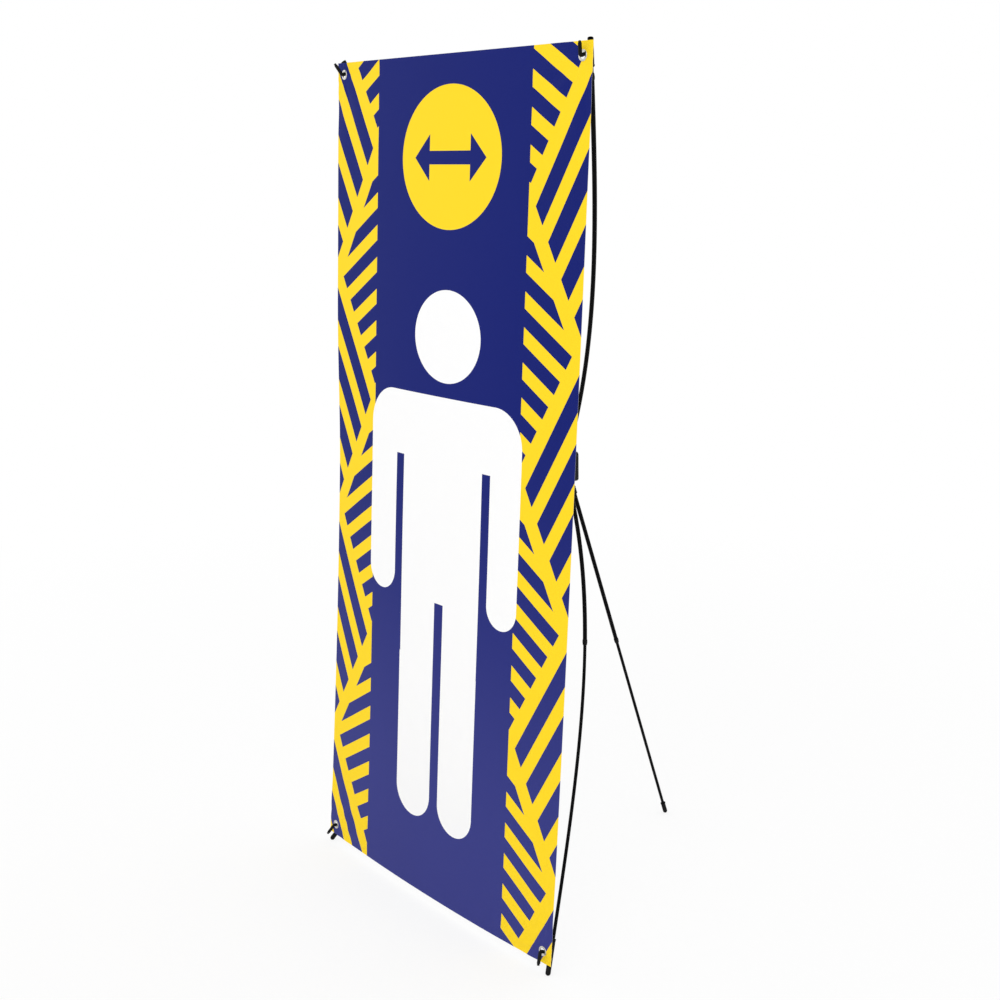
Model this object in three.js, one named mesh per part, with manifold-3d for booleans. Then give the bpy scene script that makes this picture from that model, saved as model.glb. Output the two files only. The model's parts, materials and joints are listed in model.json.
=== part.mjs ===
// An X banner stand: a printed sheet pinned by its corner rings to four sprung poles, which fold on a
// moulded hub behind it, and a fifth pole that props the hub from the back.
// Millimetres, +Z up, +X to the right of someone facing the print, +Y to the back. The origin is on the
// floor, under the middle of the whole stand.
import * as THREE from "three";
import { mergeVertices } from "three/addons/utils/BufferGeometryUtils.js";
import Module from "manifold-3d";

const wasm = await Module();
wasm.setup();

const degree = Math.PI / 180;
const quarterTurn = Math.PI / 2;
const halfTurn = Math.PI;

// Running gap between pieces that touch, and how far a cutting tool runs past what it cuts.
const seatGap = 0.3;
const overrun = 4;

// Sheet
const sheetWidth = 800;
const sheetHeight = 1800;
const sheetThick = 0.5;
const sheetLean = 1 * degree;
const sheetRise = 22;
const ringInset = 25;
const sideDraw = 7.5;
const sideCurl = 11;
const middleBow = 10;
const footDip = 4;
const headDip = 1.5;
const sheetColumns = 12;
const sheetRows = 28;

// Corner rings, each pressed together from a grommet and a washer
const ringHoleRadius = 6.3;
const ringBarrelRadius = 7;
const ringFlangeRadius = 10.6;
const ringFlangeThick = 0.9;
const ringRollRadius = 8.6;
const ringRollThick = 0.7;
const ringGap = 0.2;
const washerThick = 0.5;
const ringSides = 18;

// Hub
const hubUp = 942;
const hubBack = 348;
const hubTilt = 4 * degree;
const hubWidth = 78;
const hubHeight = 67;
const hubCorner = 7;
const armPivotAcross = 14;
const armPivotUp = 20;
const plateThick = 3.5;
const rimThick = 2.4;
const rimRise = 4;
const webThick = 2;
const webDrop = 0.8;
const gripCount = 5;
const gripPitch = 7;
const gripThick = 2;
const gripRise = 0.8;
const gripFrom = 27;
const gripTo = 36;
const plateBevel = 1.2;
const bossRadius = 6.4;
const bossThick = 0.8;
const hubScrewUp = 9;
const screwHeadRadius = 3.6;
const screwHeadThick = 2.2;
const screwShankRadius = 1.9;
const screwDepth = 9;
const driveWidth = 1;
const driveDepth = 1;
const driveReachShare = 0.6;
const screwCrownShare = 0.7;
const hubSides = 14;
const hubCornerSteps = 4;
const eyeSides = 20;

// Knuckles and their pins
const knuckleThick = 11;
const legKnuckleThick = 9;
const eyeRadius = 9;
const legEyeRadius = 7.5;
const neckHalf = 6.5;
const neckEnd = 13.5;
const neckPower = 12;
const roundPower = 2;
const barrelStart = 24;
const barrelRadius = 6.8;
const barrelEndRadius = 6.3;
const barrelMouth = 56;
const barrelRim = 3;
const ribCount = 3;
const ribThick = 1.6;
const ribRise = 0.5;
const ribPitch = 4.5;
const socketFloor = 22;
const knuckleSides = 16;
const knuckleSteps = 5;
const armCant = 4.6 * degree;
const pinRadius = 2.5;
const pinHeadRadius = 4.6;
const pinHeadThick = 1.6;
const pinTailRadius = 4.1;
const pinTailThick = 1.2;
const pinCrownShare = 0.6;

// Leg clevis on the back of the hub
const cheekThick = 3.5;
const cheekMargin = 1;
const legPivotDown = 20;
const legSplay = 19.3 * degree;
const hoodWall = 3;
const hoodBevel = 5;

// Poles. An upper one's tube takes up the length that its rod leaves, in whole cuts.
const tubeRadius = 4.75;
const rodRadius = 3.7;
const slipGap = 0.5;
const tubeBore = rodRadius + slipGap;
const upperRodShown = 41;
const lowerTubeLength = 350;
const poleCut = 1;
const legTubeLength = 448;
const rodLap = 40;
const poleSides = 12;
const poleStep = 50;
const collarRadius = 5.6;
const collarTipRadius = 4.9;
const collarLap = 7;
const collarLip = 5;

// Hooks and feet
const capRadius = 5.5;
const capSocket = 30;
const capFloor = 5;
const capRim = 2.5;
const capRimRise = 0.6;
const hookEndReach = 25;
const hookCupRadius = 4.2;
const hookCupDepth = 7;
const pegRadius = 3.6;
const hookPegReach = 18;
const footPegReach = 21.5;
const pegFront = 6.5;
const pegBend = 5;
const noseReach = 29;
const noseTipRadius = 2.7;
const noseTipLength = 4;
const pegSides = 12;
const pegSteps = 12;
const wornFlat = 0.8;
const legCapSocket = 21;
const legTabRadius = 1.8;
const legTabReach = 7.5;
const legTabUp = 18;
const capSides = 14;

// Materials
const blackPlastic = { color: 0x17171a, roughness: 0.5, metalness: 0 };
const blackRubber = { color: 0x121214, roughness: 0.75, metalness: 0 };
const blackPole = { color: 0x0e0e10, roughness: 0.38, metalness: 0.2 };
const nickel = { color: 0xc9c9c6, roughness: 0.25, metalness: 1 };
const darkSteel = { color: 0x3a3a3d, roughness: 0.4, metalness: 0.9 };
const printedSheet = { color: 0x282d7d, roughness: 0.6, metalness: 0 };

// Solids

// A share that goes from 0 at low to 1 at high, level at both ends.
function eased(value, low, high) {
  const share = Math.min(1, Math.max(0, (value - low) / (high - low)));
  return share * share * (3 - 2 * share);
}

// A closed geometry as a solid that can be joined and cut. Triangles that shrink to a line at a pole go.
function solid(geometry) {
  const bare = new THREE.BufferGeometry().setAttribute(
    "position",
    geometry.getAttribute("position"),
  );
  if (geometry.index) bare.setIndex(geometry.index);
  const merged = mergeVertices(bare);
  const kept = [];
  const index = merged.index.array;
  for (let i = 0; i < index.length; i += 3) {
    const [a, b, c] = index.slice(i, i + 3);
    if (a !== b && b !== c && c !== a) kept.push(a, b, c);
  }
  return new wasm.Manifold(
    new wasm.Mesh({
      numProp: 3,
      vertProperties: merged.getAttribute("position").array,
      triVerts: Uint32Array.from(kept),
    }),
  );
}

// A solid as a named mesh in its own material.
function piece(name, body, look, parent) {
  const cut = body.getMesh();
  const geometry = new THREE.BufferGeometry()
    .setAttribute("position", new THREE.BufferAttribute(cut.vertProperties, cut.numProp))
    .setIndex(new THREE.BufferAttribute(cut.triVerts, 1));
  geometry.computeVertexNormals();
  const mesh = new THREE.Mesh(geometry, new THREE.MeshStandardMaterial(look));
  mesh.name = name;
  parent.add(mesh);
  return mesh;
}

// A box given by its lowest and highest corners.
function block(low, high) {
  const size = high.map((value, i) => value - low[i]);
  const middle = high.map((value, i) => (value + low[i]) / 2);
  return solid(new THREE.BoxGeometry(...size).translate(...middle));
}

// A round bar along Y between two places.
function barY(radius, from, to, sides = hubSides) {
  const bar = new THREE.CylinderGeometry(radius, radius, to - from, sides);
  return solid(bar.translate(0, (from + to) / 2, 0));
}

// A profile of [radius, place along Y] points, from the low end to the high end, turned about Y.
function turned(profile, sides) {
  const points = profile.map(([radius, along]) => new THREE.Vector2(radius, along));
  return solid(new THREE.LatheGeometry(points, sides));
}

// A ring's profile, up its outside and down its bore, closed on itself and turned about Y.
function turnedRing(profile, sides) {
  return turned([...profile, profile[0]], sides);
}

// The same solid laid along Z in place of Y.
function alongZ(body) {
  return body.rotate([90, 0, 0]);
}

// A flat outline drawn in X and Z, as thick as from one Y to another, with rounded edges if bevelled.
function plateY(outline, from, to, bevel = 0) {
  const geometry = new THREE.ExtrudeGeometry(outline, {
    depth: to - from - 2 * bevel,
    bevelEnabled: bevel > 0,
    bevelThickness: bevel,
    bevelSize: bevel,
    bevelOffset: -bevel,
    bevelSegments: 2,
    curveSegments: hubCornerSteps,
  });
  return solid(geometry.rotateX(quarterTurn).translate(0, to - bevel, 0));
}

// A flat outline drawn in Y and Z, as wide as from one X to another.
function plateX(outline, from, to) {
  const geometry = new THREE.ExtrudeGeometry(outline, {
    depth: to - from,
    bevelEnabled: false,
    curveSegments: hubCornerSteps,
  });
  geometry.applyMatrix4(new THREE.Matrix4().makeBasis(
    new THREE.Vector3(0, 1, 0),
    new THREE.Vector3(0, 0, 1),
    new THREE.Vector3(1, 0, 0),
  ));
  return solid(geometry.translate(from, 0, 0));
}

function joined(...bodies) {
  return bodies.reduce((whole, next) => whole.add(next));
}

// Sheet form

// Where the middle of the sheet's thickness lies, in the sheet's own upright frame. across runs from -1
// at the left edge to 1 at the right, up from -1 at the foot to 1 at the head. The corners are pinned;
// half way up, the side edges draw in and curl back, and the middle bows to the front all the way.
function sheetPoint(across, up) {
  const slack = 1 - up * up;
  const belly = 1 - across * across;
  const atFoot = ((1 - up) / 2) ** 2;
  const atHead = ((1 + up) / 2) ** 2;
  return new THREE.Vector3(
    across * (sheetWidth / 2 - sideDraw * slack * across * across),
    sideCurl * slack * across * across - middleBow * belly,
    (sheetHeight * (1 + up)) / 2 - belly * (footDip * atFoot + headDip * atHead),
  );
}

// The sheet's front and back grids, joined round the rim.
function sheetSolid() {
  const positions = [];
  const triangles = [];
  const columns = sheetColumns + 1;
  const layer = columns * (sheetRows + 1);
  for (const side of [-1, 1])
    for (let row = 0; row <= sheetRows; row++)
      for (let column = 0; column <= sheetColumns; column++) {
        const at = sheetPoint((2 * column) / sheetColumns - 1, (2 * row) / sheetRows - 1);
        positions.push(at.x, at.y + (side * sheetThick) / 2, at.z);
      }
  const quad = (a, b, c, d) => triangles.push(a, b, c, a, c, d);
  for (let row = 0; row < sheetRows; row++)
    for (let column = 0; column < sheetColumns; column++) {
      const a = row * columns + column;
      quad(a, a + 1, a + 1 + columns, a + columns);
      quad(layer + a, layer + a + columns, layer + a + 1 + columns, layer + a + 1);
    }
  const rim = [];
  for (let column = 0; column < sheetColumns; column++) rim.push(column);
  for (let row = 0; row < sheetRows; row++) rim.push(row * columns + sheetColumns);
  for (let column = sheetColumns; column > 0; column--) rim.push(sheetRows * columns + column);
  for (let row = sheetRows; row > 0; row--) rim.push(row * columns);
  rim.forEach((a, i) => {
    const b = rim[(i + 1) % rim.length];
    quad(b, a, layer + a, layer + b);
  });
  const geometry = new THREE.BufferGeometry()
    .setAttribute("position", new THREE.Float32BufferAttribute(positions, 3))
    .setIndex(triangles);
  return solid(geometry);
}

// Corner rings

// A ring's place on the sheet and the way its back faces, for side -1 or 1 and level -1 or 1.
function ringSeat(side, level) {
  const acrossShare = 1 - ringInset / (sheetWidth / 2);
  const upShare = 1 - ringInset / (sheetHeight / 2);
  const seat = sheetPoint(side * acrossShare, level * upShare);
  const step = 0.01;
  const along = sheetPoint(side * acrossShare + step, level * upShare).sub(seat);
  const above = sheetPoint(side * acrossShare, level * upShare + step).sub(seat);
  return { seat, back: above.cross(along).normalize() };
}

const ringFront = -sheetThick / 2 - ringGap;
const washerFront = sheetThick / 2 + ringGap;
const washerBack = washerFront + washerThick;
const rollFront = washerBack + ringGap;

// The grommet: a domed flange at the front, a barrel through the sheet, rolled over behind the washer.
function grommetSolid() {
  return turnedRing(
    [
      [ringHoleRadius, ringFront - ringFlangeThick / 2],
      [ringBarrelRadius, ringFront - ringFlangeThick],
      [ringFlangeRadius - ringFlangeThick, ringFront - ringFlangeThick],
      [ringFlangeRadius, ringFront],
      [ringBarrelRadius, ringFront],
      [ringBarrelRadius, rollFront],
      [ringRollRadius, rollFront],
      [ringRollRadius - ringRollThick / 2, rollFront + ringRollThick],
      [ringBarrelRadius, rollFront + ringRollThick],
      [ringHoleRadius, rollFront],
    ],
    ringSides,
  );
}

function washerSolid() {
  const bore = ringBarrelRadius + seatGap;
  return turnedRing(
    [
      [bore, washerFront],
      [ringFlangeRadius, washerFront],
      [ringFlangeRadius - washerThick / 2, washerBack],
      [bore, washerBack],
    ],
    ringSides,
  );
}

// Hub

const knuckleHalf = knuckleThick / 2;
const coreHalf = knuckleHalf + seatGap;
const hubHalfWidth = hubWidth / 2;
const hubHalfHeight = hubHeight / 2;
const backPlateBack = coreHalf + plateThick;
const rimBack = backPlateBack + rimRise;
const frontPlateBack = -coreHalf - seatGap;
const frontPlateFront = frontPlateBack - plateThick;
const legPivotBack = backPlateBack + legEyeRadius + seatGap;
const hoodBack = legPivotBack + legEyeRadius + cheekMargin;
const cheekInside = legKnuckleThick / 2 + seatGap;
const cheekOutside = cheekInside + cheekThick;

// The hub's outline, drawn in by an inset: a rectangle with rounded corners.
function hubOutline(inset = 0) {
  const outline = new THREE.Shape();
  const corners = [[1, 1], [-1, 1], [-1, -1], [1, -1]];
  corners.forEach(([side, level], i) => {
    outline.absarc(
      side * (hubHalfWidth - hubCorner),
      level * (hubHalfHeight - hubCorner),
      hubCorner - inset,
      i * quarterTurn,
      (i + 1) * quarterTurn,
      false,
    );
  });
  outline.closePath();
  return outline;
}

// The room that a neck needs between the hub's plates, from its folded place to its open one.
function neckRoom(side, level, angle) {
  const half = neckHalf + seatGap;
  const reach = hubHalfHeight;
  const out = new THREE.Vector2(Math.sin(angle), Math.cos(angle));
  const beside = new THREE.Vector2(Math.cos(angle), -Math.sin(angle));
  const points = [
    [-half, 0],
    [-half, reach],
    [half, reach],
    [out.x * reach + beside.x * half, out.y * reach + beside.y * half],
    [beside.x * half, beside.y * half],
  ];
  const outline = new THREE.Shape(
    points.map(([x, z]) => new THREE.Vector2(side * (armPivotAcross + x), level * (armPivotUp + z))),
  );
  const wedge = plateY(outline, -coreHalf - overrun, coreHalf);
  const eye = barY(eyeRadius + seatGap, -coreHalf - overrun, coreHalf);
  return wedge.add(eye.translate([side * armPivotAcross, 0, level * armPivotUp]));
}

// One for each corner of the hub.
function atArmPins(make) {
  return [1, -1].flatMap((level) =>
    [-1, 1].map((side) => make(side, level).translate([side * armPivotAcross, 0, level * armPivotUp])),
  );
}

// The grip: short bars one above the other on both sides of the front plate.
function gripBars() {
  const front = frontPlateFront - gripRise;
  const bars = [];
  for (const side of [-1, 1])
    for (let i = 0; i < gripCount; i++) {
      const up = (i - (gripCount - 1) / 2) * gripPitch;
      const ends = [side * gripFrom, side * gripTo].sort((a, b) => a - b);
      bars.push(block([ends[0], front, up - gripThick / 2], [ends[1], frontPlateBack, up + gripThick / 2]));
    }
  return bars;
}

// The front plate, with its grip, a boss round each pin and holes for pins and screws.
function frontShell() {
  const bossFront = frontPlateFront - bossThick;
  const plate = joined(plateY(hubOutline(), frontPlateFront, frontPlateBack, plateBevel), ...gripBars());
  const bosses = atArmPins(() => barY(bossRadius, bossFront, frontPlateBack));
  const pinHoles = atArmPins(() => barY(pinRadius + seatGap, bossFront - overrun, overrun));
  const screwHoles = [-1, 1].map((level) =>
    barY(screwShankRadius + seatGap, bossFront - overrun, overrun).translate([0, 0, level * hubScrewUp]),
  );
  return [...pinHoles, ...screwHoles].reduce((left, hole) => left.subtract(hole), joined(plate, ...bosses));
}

// The hood that carries the leg, before its inside is cut: straight at the back, and round about the pin.
function legHood() {
  const top = hubHalfHeight - plateBevel;
  const outline = new THREE.Shape();
  outline.moveTo(backPlateBack - plateBevel, top);
  outline.lineTo(hoodBack - hoodBevel, top);
  outline.lineTo(hoodBack, top - hoodBevel);
  outline.lineTo(hoodBack, -legPivotDown);
  outline.absarc(legPivotBack, -legPivotDown, hoodBack - legPivotBack, 0, -quarterTurn, true);
  outline.lineTo(backPlateBack - plateBevel, -legPivotDown - hoodBack + legPivotBack);
  outline.closePath();
  return plateX(outline, -cheekOutside, cheekOutside);
}

// The room inside the hood: a closed pocket above, and below it a mouth that is open to the back and down.
function legRoom() {
  const top = hubHalfHeight - plateBevel - hoodWall;
  const pocket = block(
    [-cheekInside, backPlateBack, -legPivotDown],
    [cheekInside, hoodBack - hoodWall, top],
  );
  const mouthTop = -legPivotDown + legEyeRadius + seatGap;
  const mouth = block(
    [-cheekInside, backPlateBack, -hubHalfHeight - overrun],
    [cheekInside, hoodBack + overrun, mouthTop],
  );
  return joined(pocket, mouth);
}

// The two webs that brace the hood against the rim.
function rimWebs() {
  const half = webThick / 2;
  const from = cheekOutside - hoodWall;
  const to = hubHalfWidth - rimThick / 2;
  const ends = [[-to, -from], [from, to]];
  return ends.map(([low, high]) => block([low, coreHalf, -half], [high, rimBack - webDrop, half]));
}

// The back plate inside its raised rim, and the core between the knuckles, whose walls stop each arm when
// open and folded.
function backShell(upperAngle, lowerAngle) {
  const plate = plateY(hubOutline(), coreHalf - overrun / 2, rimBack, plateBevel);
  const core = plateY(hubOutline(), -coreHalf, coreHalf);
  const tray = plateY(hubOutline(rimThick), backPlateBack, rimBack + overrun);
  let body = joined(joined(plate, core).subtract(tray), ...rimWebs());
  for (const side of [-1, 1]) {
    body = body.subtract(neckRoom(side, 1, upperAngle));
    body = body.subtract(neckRoom(side, -1, lowerAngle));
  }
  const pinHoles = atArmPins(() => barY(pinRadius + seatGap, -overrun, backPlateBack + overrun));
  const screwHoles = [-1, 1].map((level) =>
    barY(screwShankRadius + seatGap, -coreHalf - overrun, frontPlateFront + screwDepth + 2 * seatGap)
      .translate([0, 0, level * hubScrewUp]),
  );
  const legPinHole = barY(pinRadius + seatGap, -hubHalfWidth, hubHalfWidth)
    .rotate([0, 0, 90])
    .translate([0, legPivotBack, -legPivotDown]);
  body = [...pinHoles, ...screwHoles].reduce((left, hole) => left.subtract(hole), body);
  return joined(body, legHood()).subtract(legRoom()).subtract(legPinHole);
}

// A shouldered rivet along Y: a domed head before the first face and a closed tail behind the last.
function rivet(from, to) {
  const head = from - seatGap;
  const tail = to + seatGap;
  return turned(
    [
      [0, head - pinHeadThick],
      [pinHeadRadius * pinCrownShare, head - pinHeadThick],
      [pinHeadRadius, head - pinHeadThick / 3],
      [pinHeadRadius, head],
      [pinRadius, head],
      [pinRadius, tail],
      [pinTailRadius, tail],
      [pinTailRadius - pinTailThick / 2, tail + pinTailThick],
      [0, tail + pinTailThick],
    ],
    hubSides,
  );
}

// A pan head screw along Y with a cross slot, its head before the face at from.
function screw(from) {
  const head = from - seatGap;
  const front = head - screwHeadThick;
  const body = turned(
    [
      [0, front],
      [screwHeadRadius * screwCrownShare, front],
      [screwHeadRadius, head - screwHeadThick / 2],
      [screwHeadRadius, head],
      [screwShankRadius, head],
      [screwShankRadius, from + screwDepth - screwShankRadius],
      [0, from + screwDepth],
    ],
    hubSides,
  );
  const half = driveWidth / 2;
  const arm = screwHeadRadius * driveReachShare;
  const slotAcross = block([-arm, front - overrun, -half], [arm, front + driveDepth, half]);
  const slotUp = block([-half, front - overrun, -arm], [half, front + driveDepth, arm]);
  return body.subtract(slotAcross).subtract(slotUp);
}

// Knuckles

// A section of a knuckle, square to +Z at a height and moved to the front: |x/a|^n + |y/b|^n = 1, where
// the power n is 2 for a round section and higher for a box with softer corners.
function knuckleSection(halfWidth, halfDepth, power, forward, height) {
  const points = [];
  for (let i = 0; i < knuckleSides; i++) {
    const turn = ((i + 1 / 2) / knuckleSides) * 2 * halfTurn;
    const across = Math.cos(turn);
    const back = Math.sin(turn);
    points.push([
      halfWidth * Math.sign(across) * Math.abs(across) ** (2 / power),
      halfDepth * Math.sign(back) * Math.abs(back) ** (2 / power) - forward,
      height,
    ]);
  }
  return points;
}

// A closed skin over a row of sections, from the lowest to the highest.
function skinned(sections) {
  const sides = sections[0].length;
  const last = (sections.length - 1) * sides;
  const triangles = [];
  for (let i = 2; i < sides; i++) {
    triangles.push(0, i, i - 1);
    triangles.push(last, last + i - 1, last + i);
  }
  for (let row = 0; row < last; row += sides)
    for (let i = 0; i < sides; i++) {
      const next = (i + 1) % sides;
      triangles.push(row + i, row + next, row + sides + next);
      triangles.push(row + i, row + sides + next, row + sides + i);
    }
  const geometry = new THREE.BufferGeometry()
    .setAttribute("position", new THREE.Float32BufferAttribute(sections.flat(2), 3))
    .setIndex(triangles);
  return solid(geometry);
}

// The barrel's radius at each height: three raised ribs, and a rim at its mouth.
function barrelProfile() {
  const profile = [];
  for (let rib = 0; rib < ribCount; rib++) {
    const at = barrelMouth - barrelRim - (ribCount - rib) * ribPitch;
    profile.push([barrelEndRadius + ribRise / 2, at]);
    profile.push([barrelEndRadius + ribRise * 2, at + ribThick / 2]);
    profile.push([barrelEndRadius + ribRise / 2, at + ribThick]);
  }
  profile.push([barrelEndRadius, barrelMouth - barrelRim]);
  profile.push([barrelRadius + ribRise, barrelMouth - barrelRim + ribRise]);
  profile.push([barrelRadius + ribRise, barrelMouth - ribRise]);
  profile.push([barrelRadius, barrelMouth]);
  return profile;
}

// A knuckle: an eye on a pin along Y, and a flat neck that goes over smoothly to a ribbed barrel, tilted
// towards the front by cant. The pole leaves along +Z.
function knuckle(thick, radius, cant) {
  const half = thick / 2;
  const tilt = Math.tan(cant);
  const sections = [knuckleSection(neckHalf, half, neckPower, 0, 0)];
  for (let step = 0; step <= knuckleSteps; step++) {
    const height = neckEnd + ((barrelStart - neckEnd) * step) / knuckleSteps;
    const share = eased(height, neckEnd, barrelStart);
    sections.push(knuckleSection(
      neckHalf + (barrelRadius - neckHalf) * share,
      half + (barrelRadius - half) * share,
      neckPower ** (1 - share) * roundPower ** share,
      tilt * height * share,
      height,
    ));
  }
  for (const [size, height] of barrelProfile())
    sections.push(knuckleSection(size, size, roundPower, tilt * height, height));
  const eye = barY(radius, -half, half, eyeSides);
  const socket = alongZ(barY(tubeRadius + seatGap, socketFloor, barrelMouth + overrun, capSides))
    .rotate([cant / degree, 0, 0]);
  const pinHole = barY(pinRadius + seatGap, -half - overrun, half + overrun);
  return joined(eye, skinned(sections)).subtract(socket).subtract(pinHole);
}

// Poles

// The centre line of a sprung pole in its arm's frame: out along +Z from the pin, and forward, which is
// -Y. It leaves the socket straight, at the knuckle's tilt, and then bends as a rod held at one end and
// pulled at the other does: forward = slope * out + bend * (3 s^2 - s^3) / 2, with s the share of the way.
class PoleLine extends THREE.Curve {
  constructor(shape, from, to) {
    super();
    Object.assign(this, { shape, from, to });
  }
  getPoint(t, target = new THREE.Vector3()) {
    const out = this.from + (this.to - this.from) * t;
    return target.set(0, -forwardAt(this.shape, out), out);
  }
}

function forwardAt({ slope, bend, end }, out) {
  const s = Math.max(0, (out - barrelMouth) / (end - barrelMouth));
  return slope * out + (bend * (3 * s * s - s * s * s)) / 2;
}

function slopeAt({ slope, bend, end }, out) {
  const length = end - barrelMouth;
  const s = Math.max(0, (out - barrelMouth) / length);
  return slope + (bend * (6 * s - 3 * s * s)) / 2 / length;
}

// A pole's shape, such that a peg square to its end hangs in the outer side of the ring, which lies out
// from the pin and forward of it and leans outwards. The end's angle and place depend on each other, so
// they are found by repeating.
function poleShape(ringOut, ringForward, ringLean, pegReach) {
  const slope = Math.tan(armCant);
  const clearHole = ringHoleRadius * Math.cos(halfTurn / ringSides) - ringGap;
  const rounds = 12;
  let shape = { slope, bend: 0, end: ringOut };
  for (let i = 0; i < rounds; i++) {
    const angle = Math.atan(slopeAt(shape, shape.end));
    const across = angle - ringLean;
    const play = clearHole - pegRadius / Math.cos(across) - rollFront * Math.tan(across);
    const end = ringOut + play + pegReach * Math.sin(angle);
    const forward = ringForward - pegReach * Math.cos(angle);
    shape = { slope, bend: forward - slope * end, end };
  }
  return shape;
}

// A round bar or tube swept along a curve. Its section has an even count of sides.
function swept(path, radius, bore, steps, sides) {
  const section = new THREE.Shape().absarc(0, 0, radius, 0, 2 * halfTurn, false);
  if (bore > 0) section.holes.push(new THREE.Path().absarc(0, 0, bore, 0, 2 * halfTurn, true));
  const geometry = new THREE.ExtrudeGeometry(section, {
    steps,
    curveSegments: sides / 2,
    bevelEnabled: false,
    extrudePath: path,
  });
  return solid(geometry);
}

// A pole on its line, in steps of about one length.
function sweptPole(line, radius, bore) {
  return swept(line, radius, bore, Math.ceil((line.to - line.from) / poleStep), poleSides);
}

// The collar at a tube's end: over the tube, with a lip that tapers down to the rod.
function collarSolid() {
  const overTube = tubeRadius + seatGap;
  const overRod = tubeBore;
  return turnedRing(
    [
      [overTube, -collarLap],
      [collarRadius, -collarLap],
      [collarRadius, 0],
      [collarTipRadius, collarLip],
      [overRod, collarLip],
      [overRod, seatGap],
      [overTube, seatGap],
    ],
    capSides,
  );
}

// Hooks and feet

// The route of a peg and its nose, from the cap's axis forward along +Z and then out along +Y.
class PegLine extends THREE.Curve {
  constructor(reach, nose) {
    super();
    this.straight = reach - pegBend;
    this.arc = quarterTurn * pegBend;
    this.nose = nose - pegBend;
  }
  getPoint(t, target = new THREE.Vector3()) {
    const total = this.straight + this.arc + this.nose;
    const along = t * total;
    if (along < this.straight) return target.set(0, 0, along);
    const turn = Math.min(quarterTurn, (along - this.straight) / pegBend);
    const past = Math.max(0, along - this.straight - this.arc);
    return target.set(
      0,
      pegBend * (1 - Math.cos(turn)) + past,
      this.straight + pegBend * Math.sin(turn),
    );
  }
}

// The lower part of a cap's profile along Y, which is its mouth with a raised rim.
function capMouth(mouth) {
  return [
    [0, mouth],
    [capRadius, mouth],
    [capRadius + capRimRise, mouth + capRimRise],
    [capRadius + capRimRise, mouth + capRim],
    [capRadius, mouth + capRim + capRimRise],
  ];
}

// A cap with a square end, of which the edge is chamfered.
function openCap(mouth, end) {
  const profile = capMouth(mouth);
  profile.push([capRadius, end - capRimRise]);
  profile.push([capRadius - capRimRise, end]);
  profile.push([0, end]);
  return turned(profile, capSides);
}

// A cap with a round end, which is centred on ball.
function roundCap(mouth, ball) {
  const profile = capMouth(mouth);
  const steps = 4;
  for (let i = 0; i <= steps; i++) {
    const turn = (i / steps) * quarterTurn;
    profile.push([i === steps ? 0 : capRadius * Math.cos(turn), ball + capRadius * Math.sin(turn)]);
  }
  return turned(profile, capSides);
}

function capBore(mouth, radius) {
  return barY(radius, mouth - overrun, -capFloor, capSides);
}

// The peg with its nose and the thinner tip on the nose.
function pegSolid(pegReach) {
  const line = new PegLine(pegReach + pegFront, noseReach - noseTipLength);
  const bar = swept(line, pegRadius, 0, pegSteps, pegSides);
  const from = noseReach - noseTipLength - pegRadius;
  const tip = turned(
    [
      [0, from],
      [noseTipRadius, from],
      [noseTipRadius, noseReach - noseTipRadius / 2],
      [noseTipRadius / 2, noseReach],
      [0, noseReach],
    ],
    pegSides,
  );
  return bar.add(tip.translate([0, 0, pegReach + pegFront]));
}

// An upper hook: cap, peg and nose, with a moulded cup in the cap's end.
function hookSolid() {
  const body = joined(openCap(-capSocket, hookEndReach), pegSolid(hookPegReach));
  const cup = barY(hookCupRadius, hookEndReach - hookCupDepth, hookEndReach + overrun, capSides);
  return body.subtract(capBore(-capSocket, rodRadius + seatGap)).subtract(cup);
}

// A lower hook, whose cap runs on to the floor as a foot.
function hookFootSolid(ball) {
  const body = joined(roundCap(-capSocket, ball), pegSolid(footPegReach));
  return body.subtract(capBore(-capSocket, rodRadius + seatGap));
}

// The leg's foot: a plain cap with the stub of a tab on its front.
function legFootSolid(ball) {
  const tab = turned(
    [[0, 0], [legTabRadius, 0], [legTabRadius, legTabReach - legTabRadius / 2], [0, legTabReach]],
    pegSides,
  ).rotate([90, 0, 0]).translate([0, -legTabUp, 0]);
  const body = joined(roundCap(-legCapSocket, ball), tab);
  return body.subtract(capBore(-legCapSocket, rodRadius + seatGap));
}

// How far along a direction from a place a foot's round end lies when it stands worn flat on the floor.
function reachToFloor(place, direction) {
  return (place.z - (capRadius - wornFlat)) / -direction.z;
}

// A foot, in its own frame, cut flat at the floor.
function cutAtFloor(body, frame) {
  const slab = new THREE.BoxGeometry(sheetWidth, sheetWidth, sheetWidth);
  slab.translate(0, 0, -sheetWidth / 2);
  const place = new THREE.Vector3().setFromMatrixPosition(frame.matrixWorld);
  slab.translate(place.x, place.y, 0);
  slab.applyMatrix4(frame.matrixWorld.clone().invert());
  return body.subtract(solid(slab));
}

// Stand

const stand = new THREE.Group();
const sheetFrame = new THREE.Group();
sheetFrame.position.z = sheetRise;
sheetFrame.rotation.x = -sheetLean;
stand.add(sheetFrame);
const hubFrame = new THREE.Group();
hubFrame.position.set(0, hubBack, hubUp);
hubFrame.rotation.x = hubTilt;
sheetFrame.add(hubFrame);
stand.updateMatrixWorld(true);

// A frame inside a parent with its own Y along a direction and its own Z towards another.
function frameAlong(parent, place, along, towards) {
  const across = new THREE.Vector3().crossVectors(along, towards);
  const frame = new THREE.Group();
  frame.position.copy(place);
  frame.quaternion.setFromRotationMatrix(new THREE.Matrix4().makeBasis(across, along, towards));
  parent.add(frame);
  frame.updateMatrixWorld(true);
  return frame;
}

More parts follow.
